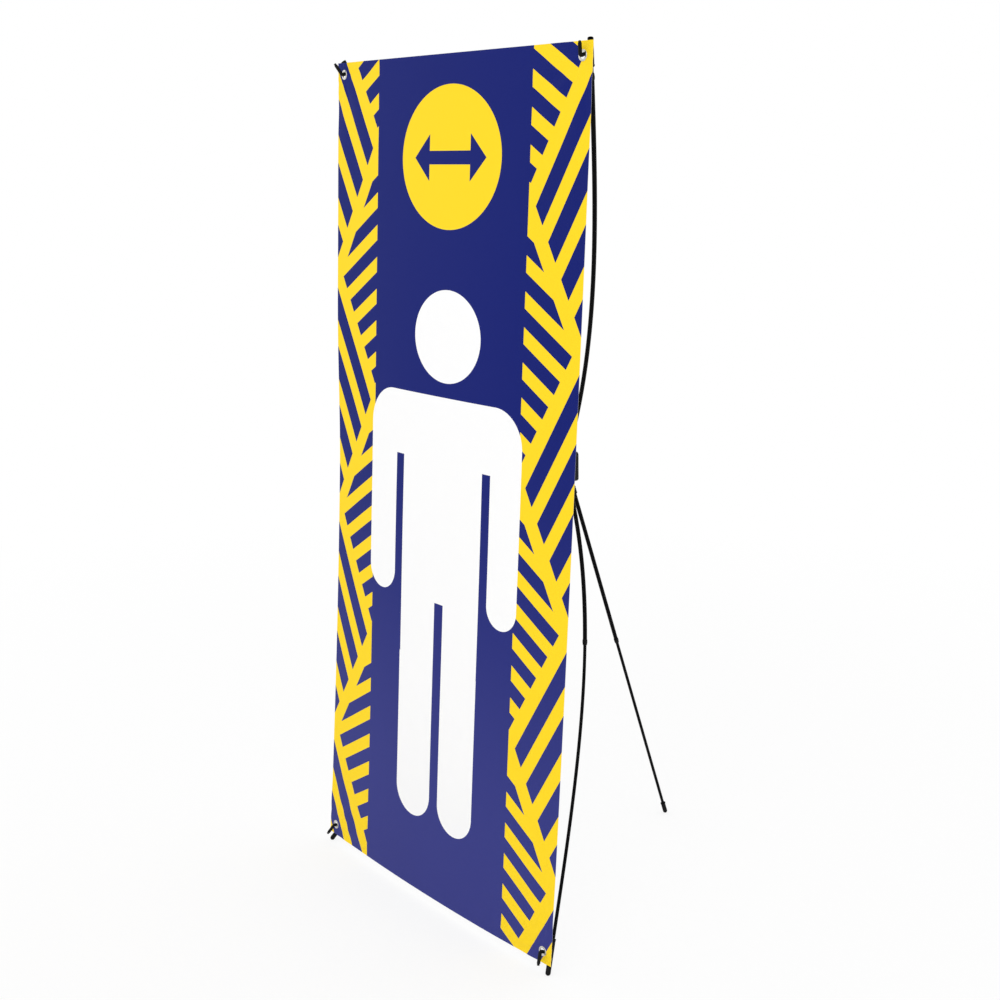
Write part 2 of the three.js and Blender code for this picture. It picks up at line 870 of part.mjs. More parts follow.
// The collar's and cap's frames share the pole's plane: Y out along the pole, Z to its front.
function poleFrame(parent, shape, out) {
  const angle = Math.atan(slopeAt(shape, out));
  return frameAlong(
    parent,
    new THREE.Vector3(0, -forwardAt(shape, out), out),
    new THREE.Vector3(0, -Math.sin(angle), Math.cos(angle)),
    new THREE.Vector3(0, -Math.cos(angle), -Math.sin(angle)),
  );
}

const arms = [
  { name: "upper_left", side: -1, level: 1 },
  { name: "upper_right", side: 1, level: 1 },
  { name: "lower_left", side: -1, level: -1 },
  { name: "lower_right", side: 1, level: -1 },
];

// Each arm turns on its pin until it points at its ring. Its frame has +Z out along the arm.
for (const arm of arms) {
  Object.assign(arm, ringSeat(arm.side, arm.level));
  const inHub = arm.seat.clone().applyMatrix4(hubFrame.matrix.clone().invert());
  const across = arm.side * inHub.x - armPivotAcross;
  const away = arm.level * inHub.z - armPivotUp;
  arm.angle = Math.atan2(across, away);
  arm.frame = new THREE.Group();
  arm.frame.position.set(arm.side * armPivotAcross, 0, arm.level * armPivotUp);
  arm.frame.rotation.y = arm.side * (arm.level > 0 ? arm.angle : halfTurn - arm.angle);
  hubFrame.add(arm.frame);
  arm.frame.updateMatrixWorld(true);
  const toArm = arm.frame.matrixWorld.clone().invert().multiply(sheetFrame.matrixWorld);
  const ring = arm.seat.clone().applyMatrix4(toArm);
  const ringBack = arm.back.clone().transformDirection(toArm);
  const pegReach = arm.level > 0 ? hookPegReach : footPegReach;
  arm.shape = poleShape(ring.z, -ring.y, Math.atan2(ringBack.z, ringBack.y), pegReach);
}

const sheetHole = ringBarrelRadius + seatGap;
let sheet = sheetSolid();
for (const { seat } of arms)
  sheet = sheet.subtract(
    barY(sheetHole, -overrun, overrun, ringSides).translate([seat.x, seat.y, seat.z]),
  );
piece("banner_sheet", sheet, printedSheet, sheetFrame);

piece("hub_front_shell", frontShell(), blackPlastic, hubFrame);
piece("hub_rear_shell", backShell(arms[0].angle, arms[2].angle), blackPlastic, hubFrame);
for (const [word, level] of [["upper", 1], ["lower", -1]]) {
  const mesh = piece("hub_screw_" + word, screw(frontPlateFront), darkSteel, hubFrame);
  mesh.position.z = level * hubScrewUp;
}

for (const { name, level, seat, back, shape, frame: arm } of arms) {
  const pin = piece(
    "pivot_pin_" + name,
    rivet(frontPlateFront - bossThick, backPlateBack),
    darkSteel,
    hubFrame,
  );
  pin.position.copy(arm.position);
  piece("knuckle_" + name, knuckle(knuckleThick, eyeRadius, armCant), blackPlastic, arm);
  const tubeFrom = socketFloor + seatGap;
  const rodTo = shape.end - (capFloor + seatGap) * Math.cos(Math.atan(slopeAt(shape, shape.end)));
  const room = rodTo - upperRodShown - tubeFrom;
  const tubeTo = tubeFrom + (level > 0 ? Math.round(room / poleCut) * poleCut : lowerTubeLength);
  const tubeLine = new PoleLine(shape, tubeFrom, tubeTo);
  piece("pole_tube_" + name, sweptPole(tubeLine, tubeRadius, tubeBore), blackPole, arm);
  piece("pole_collar_" + name, collarSolid(), blackPlastic, poleFrame(arm, shape, tubeTo));
  const rodLine = new PoleLine(shape, tubeTo - rodLap, rodTo);
  piece("pole_rod_" + name, sweptPole(rodLine, rodRadius, 0), blackPole, arm);

  const cap = poleFrame(arm, shape, shape.end);
  if (level > 0) {
    piece("banner_hook_" + name, hookSolid(), blackPlastic, cap);
  } else {
    const place = new THREE.Vector3().setFromMatrixPosition(cap.matrixWorld);
    const down = new THREE.Vector3().setFromMatrixColumn(cap.matrixWorld, 1);
    const foot = cutAtFloor(hookFootSolid(reachToFloor(place, down)), cap);
    piece("hook_foot_" + name, foot, blackPlastic, cap);
  }

  const ring = new THREE.Group();
  ring.position.copy(seat);
  ring.quaternion.setFromUnitVectors(new THREE.Vector3(0, 1, 0), back);
  sheetFrame.add(ring);
  piece("grommet_" + name, grommetSolid(), nickel, ring);
  piece("grommet_washer_" + name, washerSolid(), nickel, ring);
}

// Rear leg

const leg = new THREE.Group();
leg.position.set(0, legPivotBack, -legPivotDown);
leg.rotation.x = halfTurn + legSplay;
hubFrame.add(leg);
leg.updateMatrixWorld(true);

// A knuckle on a pin along X, with a lug above the pin that meets the back plate when the leg is open.
function legKnuckle() {
  const half = legKnuckleThick / 2;
  const standOff = legPivotBack - backPlateBack;
  const lug = (standOff - seatGap - neckHalf * Math.cos(legSplay)) / Math.sin(legSplay);
  const turnedEye = knuckle(legKnuckleThick, legEyeRadius, 0).rotate([0, 0, 90]);
  const pinHole = barY(pinRadius + seatGap, -half - overrun, half + overrun).rotate([0, 0, 90]);
  return turnedEye.add(block([-half, 0, -lug], [half, neckHalf, 0])).subtract(pinHole);
}

const legPin = piece(
  "pivot_pin_leg",
  rivet(-cheekOutside, cheekOutside).rotate([0, 0, -90]),
  darkSteel,
  hubFrame,
);
legPin.position.copy(leg.position);
piece("knuckle_leg", legKnuckle(), blackPlastic, leg);

const legPlace = new THREE.Vector3().setFromMatrixPosition(leg.matrixWorld);
const legDown = new THREE.Vector3().setFromMatrixColumn(leg.matrixWorld, 2);
const legBall = reachToFloor(legPlace, legDown);
const legTubeFrom = socketFloor + seatGap;
const legTubeTo = legTubeFrom + legTubeLength;
const legCapAt = legBall - capRadius;

// A straight bar or tube along Z.
function straightPole(from, to, radius, bore) {
  const bar = alongZ(barY(radius, from, to, poleSides));
  if (bore === 0) return bar;
  return bar.subtract(alongZ(barY(bore, from - overrun, to + overrun, poleSides)));
}

const onLeg = (out) =>
  frameAlong(leg, new THREE.Vector3(0, 0, out), new THREE.Vector3(0, 0, 1), new THREE.Vector3(0, 1, 0));
piece("pole_tube_leg", straightPole(legTubeFrom, legTubeTo, tubeRadius, tubeBore), blackPole, leg);
piece("pole_collar_leg", collarSolid(), blackPlastic, onLeg(legTubeTo));
const legRodTo = legCapAt - capFloor - seatGap;
piece("pole_rod_leg", straightPole(legTubeTo - rodLap, legRodTo, rodRadius, 0), blackPole, leg);
const footFrame = onLeg(legCapAt);
piece("leg_foot", cutAtFloor(legFootSolid(legBall - legCapAt), footFrame), blackRubber, footFrame);

// The origin goes under the middle of the whole.
const whole = new THREE.Box3().setFromObject(stand, true);
stand.position.y = -(whole.min.y + whole.max.y) / 2;

const group = new THREE.Group();
group.add(stand);
export default group;
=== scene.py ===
import json

import bmesh
import bpy
import numpy as np
from bpy.props import FloatProperty, FloatVectorProperty, IntProperty, PointerProperty
from mathutils import Matrix


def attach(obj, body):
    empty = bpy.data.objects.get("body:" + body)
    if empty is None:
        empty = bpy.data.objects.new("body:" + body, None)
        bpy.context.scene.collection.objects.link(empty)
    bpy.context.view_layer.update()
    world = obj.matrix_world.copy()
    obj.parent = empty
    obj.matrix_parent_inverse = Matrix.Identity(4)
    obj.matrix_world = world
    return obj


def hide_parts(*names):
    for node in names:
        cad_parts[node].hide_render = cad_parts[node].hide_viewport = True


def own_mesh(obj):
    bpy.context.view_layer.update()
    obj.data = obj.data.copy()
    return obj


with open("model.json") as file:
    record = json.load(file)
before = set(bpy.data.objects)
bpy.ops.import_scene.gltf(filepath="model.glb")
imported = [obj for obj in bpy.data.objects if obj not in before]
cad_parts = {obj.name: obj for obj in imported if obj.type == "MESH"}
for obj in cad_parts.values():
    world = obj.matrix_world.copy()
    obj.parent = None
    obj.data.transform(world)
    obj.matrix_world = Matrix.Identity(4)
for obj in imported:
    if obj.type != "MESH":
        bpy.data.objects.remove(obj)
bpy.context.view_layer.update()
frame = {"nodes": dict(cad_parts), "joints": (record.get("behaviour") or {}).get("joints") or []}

bl_info = {
    "name": "X Banner Stand",
    "version": (1, 0, 0),
    "blender": (4, 5, 0),
    "location": "3D View > Sidebar > Banner Stand",
    "description": "Dresses the frame of an X banner stand with its print, poles, hooks and hub",
    "category": "Add Mesh",
}

# Sizes of the construction, in metres and radians, as the frame has them

SHEET_WIDTH = 0.8
SHEET_HEIGHT = 1.8
SHEET_THICK = 0.0005
RING_INSET = 0.025
SIDE_DRAW = 0.0075
SIDE_CURL = 0.011
EDGE_STRAIGHTNESS = 0.6
MIDDLE_BOW = 0.010
FOOT_DIP = 0.004
HEAD_DIP = 0.0015
CREASE_REACH = 0.075
CREASE_RIDGES = 10

RING_HOLE = 0.0063
RING_BARREL = 0.007
RING_FLANGE = 0.0106
RING_FLANGE_THICK = 0.0009
RING_ROLL = 0.0086
RING_ROLL_THICK = 0.0007
RING_GAP = 0.0002
RING_SIDES = 18
WASHER_THICK = 0.0005
ROLL_FRONT = SHEET_THICK / 2 + RING_GAP + WASHER_THICK + RING_GAP

HUB_BEHIND_SHEET = 0.348
HUB_ABOVE_SHEET = 0.942
HUB_TILT = np.radians(4)
PLATE_THICK = 0.0035
KNUCKLE_HALF = 0.0055
LEG_KNUCKLE_HALF = 0.0045
SEAT_GAP = 0.0003
BOSS_THICK = 0.0008
CHEEK_THICK = 0.0035
CORE_HALF = KNUCKLE_HALF + SEAT_GAP
BACK_PLATE_BACK = CORE_HALF + PLATE_THICK
FRONT_PLATE_FRONT = -CORE_HALF - SEAT_GAP - PLATE_THICK
CHEEK_OUTSIDE = LEG_KNUCKLE_HALF + SEAT_GAP + CHEEK_THICK

SCREW_UP = 0.009
SCREW_HEAD = 0.0036
SCREW_HEAD_THICK = 0.0022
SCREW_SHANK = 0.0019
SCREW_DEPTH = 0.009
SCREW_POINT = 0.002

# The cross in a screw's head: where its sides and its ends lie at the rim and at the floor, its depth
# in the middle, and how far out that depth would run out.
CROSS_SIDES = (0.00062, 0.0004)
CROSS_ENDS = (0.0024, 0.0019)
CROSS_DEPTH = 0.0012
CROSS_RUN_OUT = 0.004

PIN_RADIUS = 0.0025
PIN_HEAD = 0.0046
PIN_HEAD_THICK = 0.0016
PIN_TAIL = 0.0041
PIN_TAIL_THICK = 0.0012

EYE_RADIUS = 0.009
LEG_EYE_RADIUS = 0.0075
NECK_HALF = 0.0065
NECK_END = 0.0135
BARREL_START = 0.024
BARREL_MOUTH = 0.056
BARREL_RADIUS = 0.0068
BARREL_END = 0.0063
BARREL_RIM = 0.003
NECK_POWER = 9
ROUND_POWER = 2
RIB_COUNT = 3
RIB_PITCH = 0.0045
RIB_THICK = 0.0016
RIB_RISE = 0.0010
RIM_RISE = 0.0009
SOCKET_FLOOR = 0.022
ARM_CANT = np.radians(4.6)
LEG_SPLAY = np.radians(19.3)

TUBE_RADIUS = 0.00475
ROD_RADIUS = 0.0037
TUBE_BORE = 0.0042
UPPER_TUBE = 0.850
LOWER_TUBE = 0.350
LEG_TUBE = 0.448
ROD_LAP = 0.040
COLLAR_RADIUS = 0.0056
COLLAR_TIP = 0.0049
COLLAR_LAP = 0.007
COLLAR_LIP = 0.005

CAP_RADIUS = 0.0055
CAP_SOCKET = 0.030
LEG_CAP_SOCKET = 0.021
CAP_FLOOR = 0.005
CAP_RIM = 0.0025
CAP_RIM_RISE = 0.0006
CAP_GROOVES = (0.006, 0.009)
GROOVE_DEPTH = 0.00035
HOOK_END = 0.025
HOOK_CUP = 0.0042
HOOK_CUP_DEPTH = 0.007
PEG_ROOT = 0.0036
PEG_RADIUS = 0.0036
PEG_FLARE = 0.0022
HOOK_PEG_REACH = 0.018
FOOT_PEG_REACH = 0.0215
PEG_FRONT = 0.0065
PEG_BEND = 0.005
NOSE_REACH = 0.029
NOSE_TIP = 0.0027
NOSE_TIP_LENGTH = 0.004
WORN_FLAT = 0.0008
TAB_ROOT = 0.0046
TAB_RADIUS = 0.0018
TAB_REACH = 0.0075
TAB_UP = 0.018

# Points round the turned pieces, the knuckles and the screws
RING_FINE_SIDES = 64
KNUCKLE_SIDES = 64
COLLAR_SIDES = 48
PEG_SIDES = 40
TAB_SIDES = 24
PIN_SIDES = 48
SCREW_SIDES = 96

# From which angle an edge is hard, and how near two points are one. A shell's faces are joined up within
# its flat angle, and its edges past the last angle are rounded in as many steps.
HARD_EDGE = np.radians(35)
FILM_HARD_EDGE = np.radians(50)
SHELL_HARD_EDGE = np.radians(40)
DOUBLES = 1e-7
SHELL_DOUBLES = 1e-6
SHELL_FLAT = np.radians(2)
SHELL_ROUND_FROM = np.radians(28)
SHELL_ROUND_STEPS = 3

# The print, in metres from the sheet's lower left corner: the middle and half sizes of a round form, or
# the left, right, bottom and top of a straight one.
DISC = (0.4120, 1.5998, 0.1580, 0.1417)
HEAD = (0.4174, 1.2432, 0.1076, 0.0950)
TRUNK = (0.1537, 0.6564, 0.8100, 1.1181)
SHOULDER_RADIUS = 0.081
BELLY = (0.2803, 0.5418, 0.6762, 1.0440)
LEFT_ARM = (0.1537, 0.2538, 0.6668, 1.0080)
RIGHT_ARM = (0.5667, 0.6564, 0.6650, 1.0080)
LEFT_SLIT = (0.2538, 0.2803, 0.5400, 0.9804)
RIGHT_SLIT = (0.5418, 0.5667, 0.5400, 0.9789)
LEFT_LEG = (0.2780, 0.3992, 0.1712, 0.8100)
RIGHT_LEG = (0.4277, 0.5424, 0.1704, 0.8100)
RIGHT_BORDER_DROP = 0.11

# The arrow in the disc, in shares of the disc's half width; the neck is a share of the tip's reach.
ARROW_TIP = 0.72
ARROW_NECK = 0.58
ARROW_BAR_HALF = 0.085
ARROW_HEAD_SLOPE = 0.95
ARROW_OVERLAP = 0.001

# A border's stripes: the slope of the falling ones, the yellow share of their pitch, and how far from
# the middle of their pitch the rising ones begin.
FALLING_SLOPE = 0.62
FALLING_SHARE = 0.48
RISING_FROM = 0.28

# The lamps: name, place, side and which of the studio's powers they take
LAMPS = (
    ("key", (2.4, -4.2, 3.6), 3.2, "key"),
    ("fill", (-3.8, -2.6, 2.2), 3.0, "fill"),
    ("rear", (1.5, 4.4, 3.0), 3.0, "fill"),
)
LAMP_TARGET = (0.0, 0.0, 0.95)
WHITE = (1.0, 1.0, 1.0, 1.0)

# How far the floor goes, and the share of it that the camera sees as plain white: near the stand and
# far from it, and the distances between which that share grows.
FLOOR_REACH = 30.0
FLOOR_WHITE = (0.8, 1.0)
FLOOR_FADE = (1.2, 3.6)

ARMS = ("upper_left", "upper_right", "lower_left", "lower_right")
SIDE = {name: -1 if name.endswith("left") else 1 for name in ARMS}
LEVEL = {name: -1 if name.startswith("lower") else 1 for name in ARMS}
FULL_TURN = 2 * np.pi
X_AXIS = np.array([1.0, 0.0, 0.0])


# Frames

def unit(vector):
    """A vector made one long."""
    vector = np.asarray(vector, float)
    return vector / np.linalg.norm(vector)


def basis(place, x, y, z):
    """The matrix of a frame from its place and its three directions."""
    matrix = np.eye(4)
    matrix[:3, 0], matrix[:3, 1], matrix[:3, 2], matrix[:3, 3] = x, y, z, place
    return matrix


def moved(place):
    """The matrix of a plain move."""
    return basis(place, *np.eye(3))


def turned_x(angle):
    """The matrix of a turn about X, which takes Y towards Z."""
    c, s = np.cos(angle), np.sin(angle)
    return basis((0, 0, 0), (1, 0, 0), (0, c, s), (0, -s, c))


def turned_y(angle):
    """The matrix of a turn about Y, which takes Z towards X."""
    c, s = np.cos(angle), np.sin(angle)
    return basis((0, 0, 0), (c, 0, -s), (0, 1, 0), (s, 0, c))


def placed(matrix, points):
    """Points of a frame, in the whole stand's frame."""
    return points @ matrix[:3, :3].T + matrix[:3, 3]


def pin_place(name):
    """Where a fold's pin is."""
    return np.array(next(j for j in frame["joints"] if j["name"] == name)["pos_m"], float)


PINS = {name: pin_place("fold_" + name) for name in ARMS}
PIN_ACROSS = PINS["upper_right"][0]
PIN_UP = np.linalg.norm(PINS["upper_left"] - PINS["lower_left"]) / 2
HUB_UP = unit(PINS["upper_left"] - PINS["lower_left"])
HUB = basis(np.mean(list(PINS.values()), axis=0), X_AXIS, np.cross(HUB_UP, X_AXIS), HUB_UP)
SHEET = HUB @ np.linalg.inv(moved((0, HUB_BEHIND_SHEET, HUB_ABOVE_SHEET)) @ turned_x(HUB_TILT))

LEG_PIN = pin_place("fold_leg")
LEG_MATRIX = HUB @ turned_x(np.pi + LEG_SPLAY)
LEG_MATRIX[:3, 3] = LEG_PIN
LEG_OUT = LEG_MATRIX[:3, 2]


def leg_frame(out):
    """A frame on the leg, with +Y out along it."""
    return LEG_MATRIX @ basis((0, 0, out), (-1, 0, 0), (0, 0, 1), (0, 1, 0))


def reach_to_floor(place, direction):
    """How far along a direction the middle of a foot's round end lies when it stands worn flat on the
    floor: the fall to the cap's radius less what is worn off, over the direction's share of down."""
    return (place[2] - (CAP_RADIUS - WORN_FLAT)) / -direction[2]


# The sheet's form

def smooth_step(value, low, high):
    """A share that rises from 0 at low to 1 at high, level at both ends: three times the even share
    squared, less twice the even share cubed."""
    t = np.clip((value - low) / (high - low), 0, 1)
    return t * t * (3 - 2 * t)


def sheet_form(flat):
    """Where points of the flat sheet lie, in the sheet's upright frame. With across from -1 to 1 and up
    from -1 to 1, the sides draw in by across squared times (1 - up squared) and curl back by the same
    share, and the middle bows to the front by (1 - across squared) and dips most at the foot."""
    across = flat[..., 0] / (SHEET_WIDTH / 2) - 1
    up = flat[..., 1] / (SHEET_HEIGHT / 2) - 1
    slack = (1 - up**2) * across**2
    belly = 1 - across**2
    dip = FOOT_DIP * ((1 - up) / 2) ** 2 + HEAD_DIP * ((1 + up) / 2) ** 2
    return np.stack(
        [
            across * (SHEET_WIDTH / 2 - SIDE_DRAW * slack),
            SIDE_CURL * slack - MIDDLE_BOW * belly,
            flat[..., 1] - belly * dip,
        ],
        axis=-1,
    )


def sheet_normal(flat, form):
    """The way the back faces: the cross product of the form's two slopes, by small steps."""
    step = 1e-4
    along = form(flat + [step, 0]) - form(flat - [step, 0])
    above = form(flat + [0, step]) - form(flat - [0, step])
    normal = np.cross(above, along)
    return normal / np.linalg.norm(normal, axis=-1, keepdims=True)


def ring_flat(name):
    """A ring's place on the flat sheet."""
    return np.array(
        [
            SHEET_WIDTH / 2 + SIDE[name] * (SHEET_WIDTH / 2 - RING_INSET),
            SHEET_HEIGHT / 2 + LEVEL[name] * (SHEET_HEIGHT / 2 - RING_INSET),
        ]
    )


def ring_frame(name):
    """A ring's frame, with +Y to its back."""
    flat = ring_flat(name)
    back = sheet_normal(flat, sheet_form)
    across = unit(np.cross(back, (0, 0, 1)))
    return SHEET @ basis(sheet_form(flat), across, back, np.cross(across, back))


def crease_depth(flat, sheet):
    """How far the film stands back from its smooth form. Ridges run out from each ring: a cosine of the
    angle, times the square of the distance's share of their reach, times an exponential fall by twice
    that share, so that they are highest at their reach. Two slow sine waves cross the rest, times a
    sine across and a sine up, which bring them to rest along the rims."""
    depth = np.zeros(flat.shape[:-1])
    for i, name in enumerate(ARMS):
        away = flat - ring_flat(name)
        distance = np.hypot(away[..., 0], away[..., 1])
        angle = np.arctan2(away[..., 1], away[..., 0])
        share = distance / CREASE_REACH
        ridges = np.cos(CREASE_RIDGES * angle + i)
        depth += sheet.crease_depth * share**2 * np.exp(2 - 2 * share) * ridges
    across = flat[..., 0] / SHEET_WIDTH
    up = flat[..., 1] / SHEET_HEIGHT
    inside = np.sin(np.pi * across) * np.sin(np.pi * up)
    slow = np.sin(FULL_TURN * (1.6 * across + 0.7 * up))
    quick = np.sin(FULL_TURN * (2.3 * up - across))
    return depth + sheet.wave_depth * inside * (slow + 0.6 * quick)


def straighter_edge(flat):
    """The share of its draw and curl that the upper left edge lacks, since it hangs straighter than the
    others: (1 - up squared) times across to the fourth on the left, let in above the middle and out
    again before the ring."""
    across = np.minimum(0, flat[..., 0] / (SHEET_WIDTH / 2) - 1)
    up = flat[..., 1] / (SHEET_HEIGHT / 2) - 1
    window = smooth_step(up, 0.0, 0.45) * (1 - smooth_step(up, 0.82, 0.95))
    return EDGE_STRAIGHTNESS * (1 - up**2) * across**4 * window


def film_form(flat, sheet):
    """The sheet's form with its creases, its waves and its straighter edge."""
    form = sheet_form(flat)
    straight = straighter_edge(flat)
    form[..., 0] -= SIDE_DRAW * straight
    form[..., 1] += crease_depth(flat, sheet) - SIDE_CURL * straight
    return form


# The poles' lines

class Arm:
    """An arm's frame, with +Z out along it and -Y to the front, and its pole's line in that frame. The
    line leaves the socket straight, at the knuckle's tilt, and then bends as a rod held at one end and
    pulled at the other. It lies to the front by its slope times the way out, plus its bend times half
    of (three times the share squared, less the share cubed), where the share is that of the way from
    the socket to the peg. The bend and the end depend on each other, so they are found in rounds."""

    def __init__(self, name):
        self.upper = LEVEL[name] > 0
        side, level = SIDE[name], LEVEL[name]
        ring = ring_frame(name)
        seat = placed(np.linalg.inv(HUB), ring[:3, 3])
        angle = np.arctan2(side * seat[0] - PIN_ACROSS, level * seat[2] - PIN_UP)
        turn = side * (angle if self.upper else np.pi - angle)
        self.pin = HUB @ moved((side * PIN_ACROSS, 0, level * PIN_UP))
        self.matrix = self.pin @ turned_y(turn)
        in_arm = np.linalg.inv(self.matrix) @ ring
        self.slope = np.tan(ARM_CANT)
        self.bend = 0.0
        self.end = in_arm[2, 3]
        lean = np.arctan2(in_arm[2, 1], in_arm[1, 1])
        hole = RING_HOLE * np.cos(np.pi / RING_SIDES) - RING_GAP
        self.peg_reach = HOOK_PEG_REACH if self.upper else FOOT_PEG_REACH
        for _ in range(12):
            tilt = self.angle(self.end)
            off = tilt - lean
            play = hole - PEG_RADIUS / np.cos(off) - ROLL_FRONT * np.tan(off)
            end = in_arm[2, 3] + play + self.peg_reach * np.sin(tilt)
            self.bend = -in_arm[1, 3] - self.peg_reach * np.cos(tilt) - self.slope * end
            self.end = end
        self.tube_from = SOCKET_FLOOR + SEAT_GAP
        self.tube_to = self.tube_from + (UPPER_TUBE if self.upper else LOWER_TUBE)
        self.rod_to = self.end - (CAP_FLOOR + SEAT_GAP) * np.cos(self.angle(self.end))

    def share(self, out):
        """The share of the way from the socket's mouth to the peg."""
        return np.maximum(0, (out - BARREL_MOUTH) / (self.end - BARREL_MOUTH))

    def forward(self, out):
        """How far the line lies to the front."""
        s = self.share(out)
        return self.slope * out + self.bend * (3 * s**2 - s**3) / 2

    def angle(self, out):
        """The line's tilt: the angle of the slope of forward."""
        s = self.share(out)
        return np.arctan(self.slope + self.bend * (6 * s - 3 * s**2) / 2 / (self.end - BARREL_MOUTH))

    def line(self, out):
        """Places, sideways directions and the fixed cross direction of the pole's line."""
        zero = np.zeros_like(out)
        tilt = self.angle(out)
        place = np.stack([zero, -self.forward(out), out], axis=-1)
        side = np.stack([zero, -np.cos(tilt), -np.sin(tilt)], axis=-1)
        return place, side, X_AXIS

    def frame_at(self, out):
        """A frame on the pole, with +Y out along it and +Z to its front."""
        tilt = self.angle(out)
        along = (0, -np.sin(tilt), np.cos(tilt))
        front = (0, -np.cos(tilt), -np.sin(tilt))
        place = (0, -self.forward(out), out)
        return self.matrix @ basis(place, np.cross(along, front), along, front)


def straight(out):
    """A straight line along +Y."""
    zero = np.zeros_like(out)
    place = np.stack([zero, out, zero], axis=-1)
    return place, np.broadcast_to([0.0, 0.0, 1.0], place.shape), X_AXIS


def peg_line(rise):
    """A peg's line: forward along +Z by its rise, a quarter turn of even bend, then out along +Y."""
    def line(out):
        turn = np.clip((out - rise) / PEG_BEND, 0, np.pi / 2)
        past = np.maximum(0, out - rise - PEG_BEND * np.pi / 2)
        zero = np.zeros_like(out)
        forward = np.minimum(out, rise) + PEG_BEND * np.sin(turn)
        place = np.stack([zero, PEG_BEND * (1 - np.cos(turn)) + past, forward], axis=-1)
        side = np.stack([zero, np.cos(turn), -np.sin(turn)], axis=-1)
        return place, side, X_AXIS

    return line


# Surfaces

def grid_faces(rows, columns, round_rows=False):
    """Quads between the points of a grid whose columns go round; its rows may go round too."""
    row = np.arange(rows if round_rows else rows - 1)[:, None]
    column = np.arange(columns)[None, :]
    above, beside = (row + 1) % rows, (column + 1) % columns
    corners = [
        row * columns + column,
        row * columns + beside,
        above * columns + beside,
        above * columns + column,
    ]
    return np.stack(corners, axis=-1).reshape(-1, 4)


def grid_corners(along, columns, round_rows=False):
    """For each corner of the grid's quads, its length along the piece and its share of the turn."""
    along = np.append(along, along[0]) if round_rows else along
    low, high = along[:-1, None], along[1:, None]
    start = np.arange(columns)[None, :] / columns
    end = start + 1 / columns
    shape = (len(along) - 1, columns)
    corners = [
        np.stack([np.broadcast_to(length, shape), np.broadcast_to(share, shape)], -1)
        for length, share in ((low, start), (low, end), (high, end), (high, start))
    ]
    return np.stack(corners, axis=2).reshape(-1, 2)


def surface(points, faces, corners=None):
    """A mesh from arrays, with its doubles merged, its faces turned out and its hard edges marked."""
    mesh = bpy.data.meshes.new("surface")
    mesh.from_pydata(points.reshape(-1, 3).tolist(), [], faces.tolist())
    if corners is not None:
        mesh.uv_layers.new(name="surface").data.foreach_set("uv", corners.ravel())
    work = bmesh.new()
    work.from_mesh(mesh)
    bmesh.ops.remove_doubles(work, verts=work.verts, dist=DOUBLES)
    bmesh.ops.recalc_face_normals(work, faces=work.faces)
    work.to_mesh(mesh)
    work.free()
    mesh.shade_smooth()
    mesh.set_sharp_from_angle(angle=HARD_EDGE)
    return mesh


def turned(matrix, line, profile, sides, ring=False):
    """A turned surface carried along a line: ring i lies at the profile's place i, square to the line,
    and has its radius i. A profile that is a ring joins up with itself."""
    profile = np.asarray(profile, float)
    place, side, across = line(profile[:, 0])
    angle = np.arange(sides) * FULL_TURN / sides
    radius = profile[:, 1][:, None]
    points = (
        place[:, None]
        + (radius * np.cos(angle))[..., None] * side[:, None]
        + (radius * np.sin(angle))[..., None] * across
    )
    faces = grid_faces(len(profile), sides, ring)
    return surface(placed(matrix, points), faces, grid_corners(profile[:, 0], sides, ring))


def rounded(start, middle, end, radius, steps):
    """Profile points of a corner at middle between start and end, rounded by a quadratic curve."""
    start, middle, end = (np.asarray(p, float) for p in (start, middle, end))
    a = middle + unit(start - middle) * radius
    b = middle + unit(end - middle) * radius
    t = np.linspace(0, 1, steps + 1)[:, None]
    return (1 - t) ** 2 * a + 2 * t * (1 - t) * middle + t**2 * b


def softened(points, radius, steps, ring=False):
    """A profile with its corners rounded by up to a radius, or less where it is short. The two ends of
    one that isn't a ring stay."""
    points = np.asarray(points, float)
    count = len(points)
    parts = []
    for i in range(count):
        if not ring and i in (0, count - 1):
            parts.append(points[i][None])
            continue
        before, here, after = points[i - 1], points[i], points[(i + 1) % count]
        room = min(np.linalg.norm(before - here), np.linalg.norm(after - here)) * 0.45
        parts.append(rounded(before, here, after, min(radius, room), steps))
    return np.concatenate(parts)


def applied(meshes, kind, **settings):
    """The first mesh as a modifier leaves it. The second, if there is one, is the modifier's object."""
    objects = [bpy.data.objects.new("work", mesh) for mesh in meshes]
    for obj in objects:
        bpy.context.scene.collection.objects.link(obj)
    modifier = objects[0].modifiers.new("work", kind)
    for key, value in settings.items():
        setattr(modifier, key, value)
    if len(objects) > 1:
        modifier.object = objects[1]
    graph = bpy.context.evaluated_depsgraph_get()
    mesh = bpy.data.meshes.new_from_object(objects[0].evaluated_get(graph))
    for obj in objects:
        bpy.data.objects.remove(obj)
    return mesh


def united(first, second):
    """Two closed meshes as one outer skin, by a Boolean union."""
    mesh = applied((first, second), "BOOLEAN", operation="UNION", solver="EXACT")
    mesh.set_sharp_from_angle(angle=HARD_EDGE)
    return mesh


def piece(name, mesh, body, slot, node):
    """A finished piece, which rides on a body, has a slot's finish and stands for a CAD node."""
    mesh.name = name
    mesh.materials.clear()
    mesh.materials.append(finish(slot))
    obj = bpy.data.objects.new(name, mesh)
    bpy.context.scene.collection.objects.link(obj)
    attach(obj, body)
    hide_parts(node)
    return obj


# Shader nodes

def join(tree, made, inputs):
    """Gives a node's inputs their values, or links them to other outputs."""
    for key, value in dict(inputs).items():
        if isinstance(value, Number):
            value = value.socket
        if isinstance(value, bpy.types.NodeSocket):
            tree.links.new(value, made.inputs[key])
        else:
            made.inputs[key].default_value = value
    return made


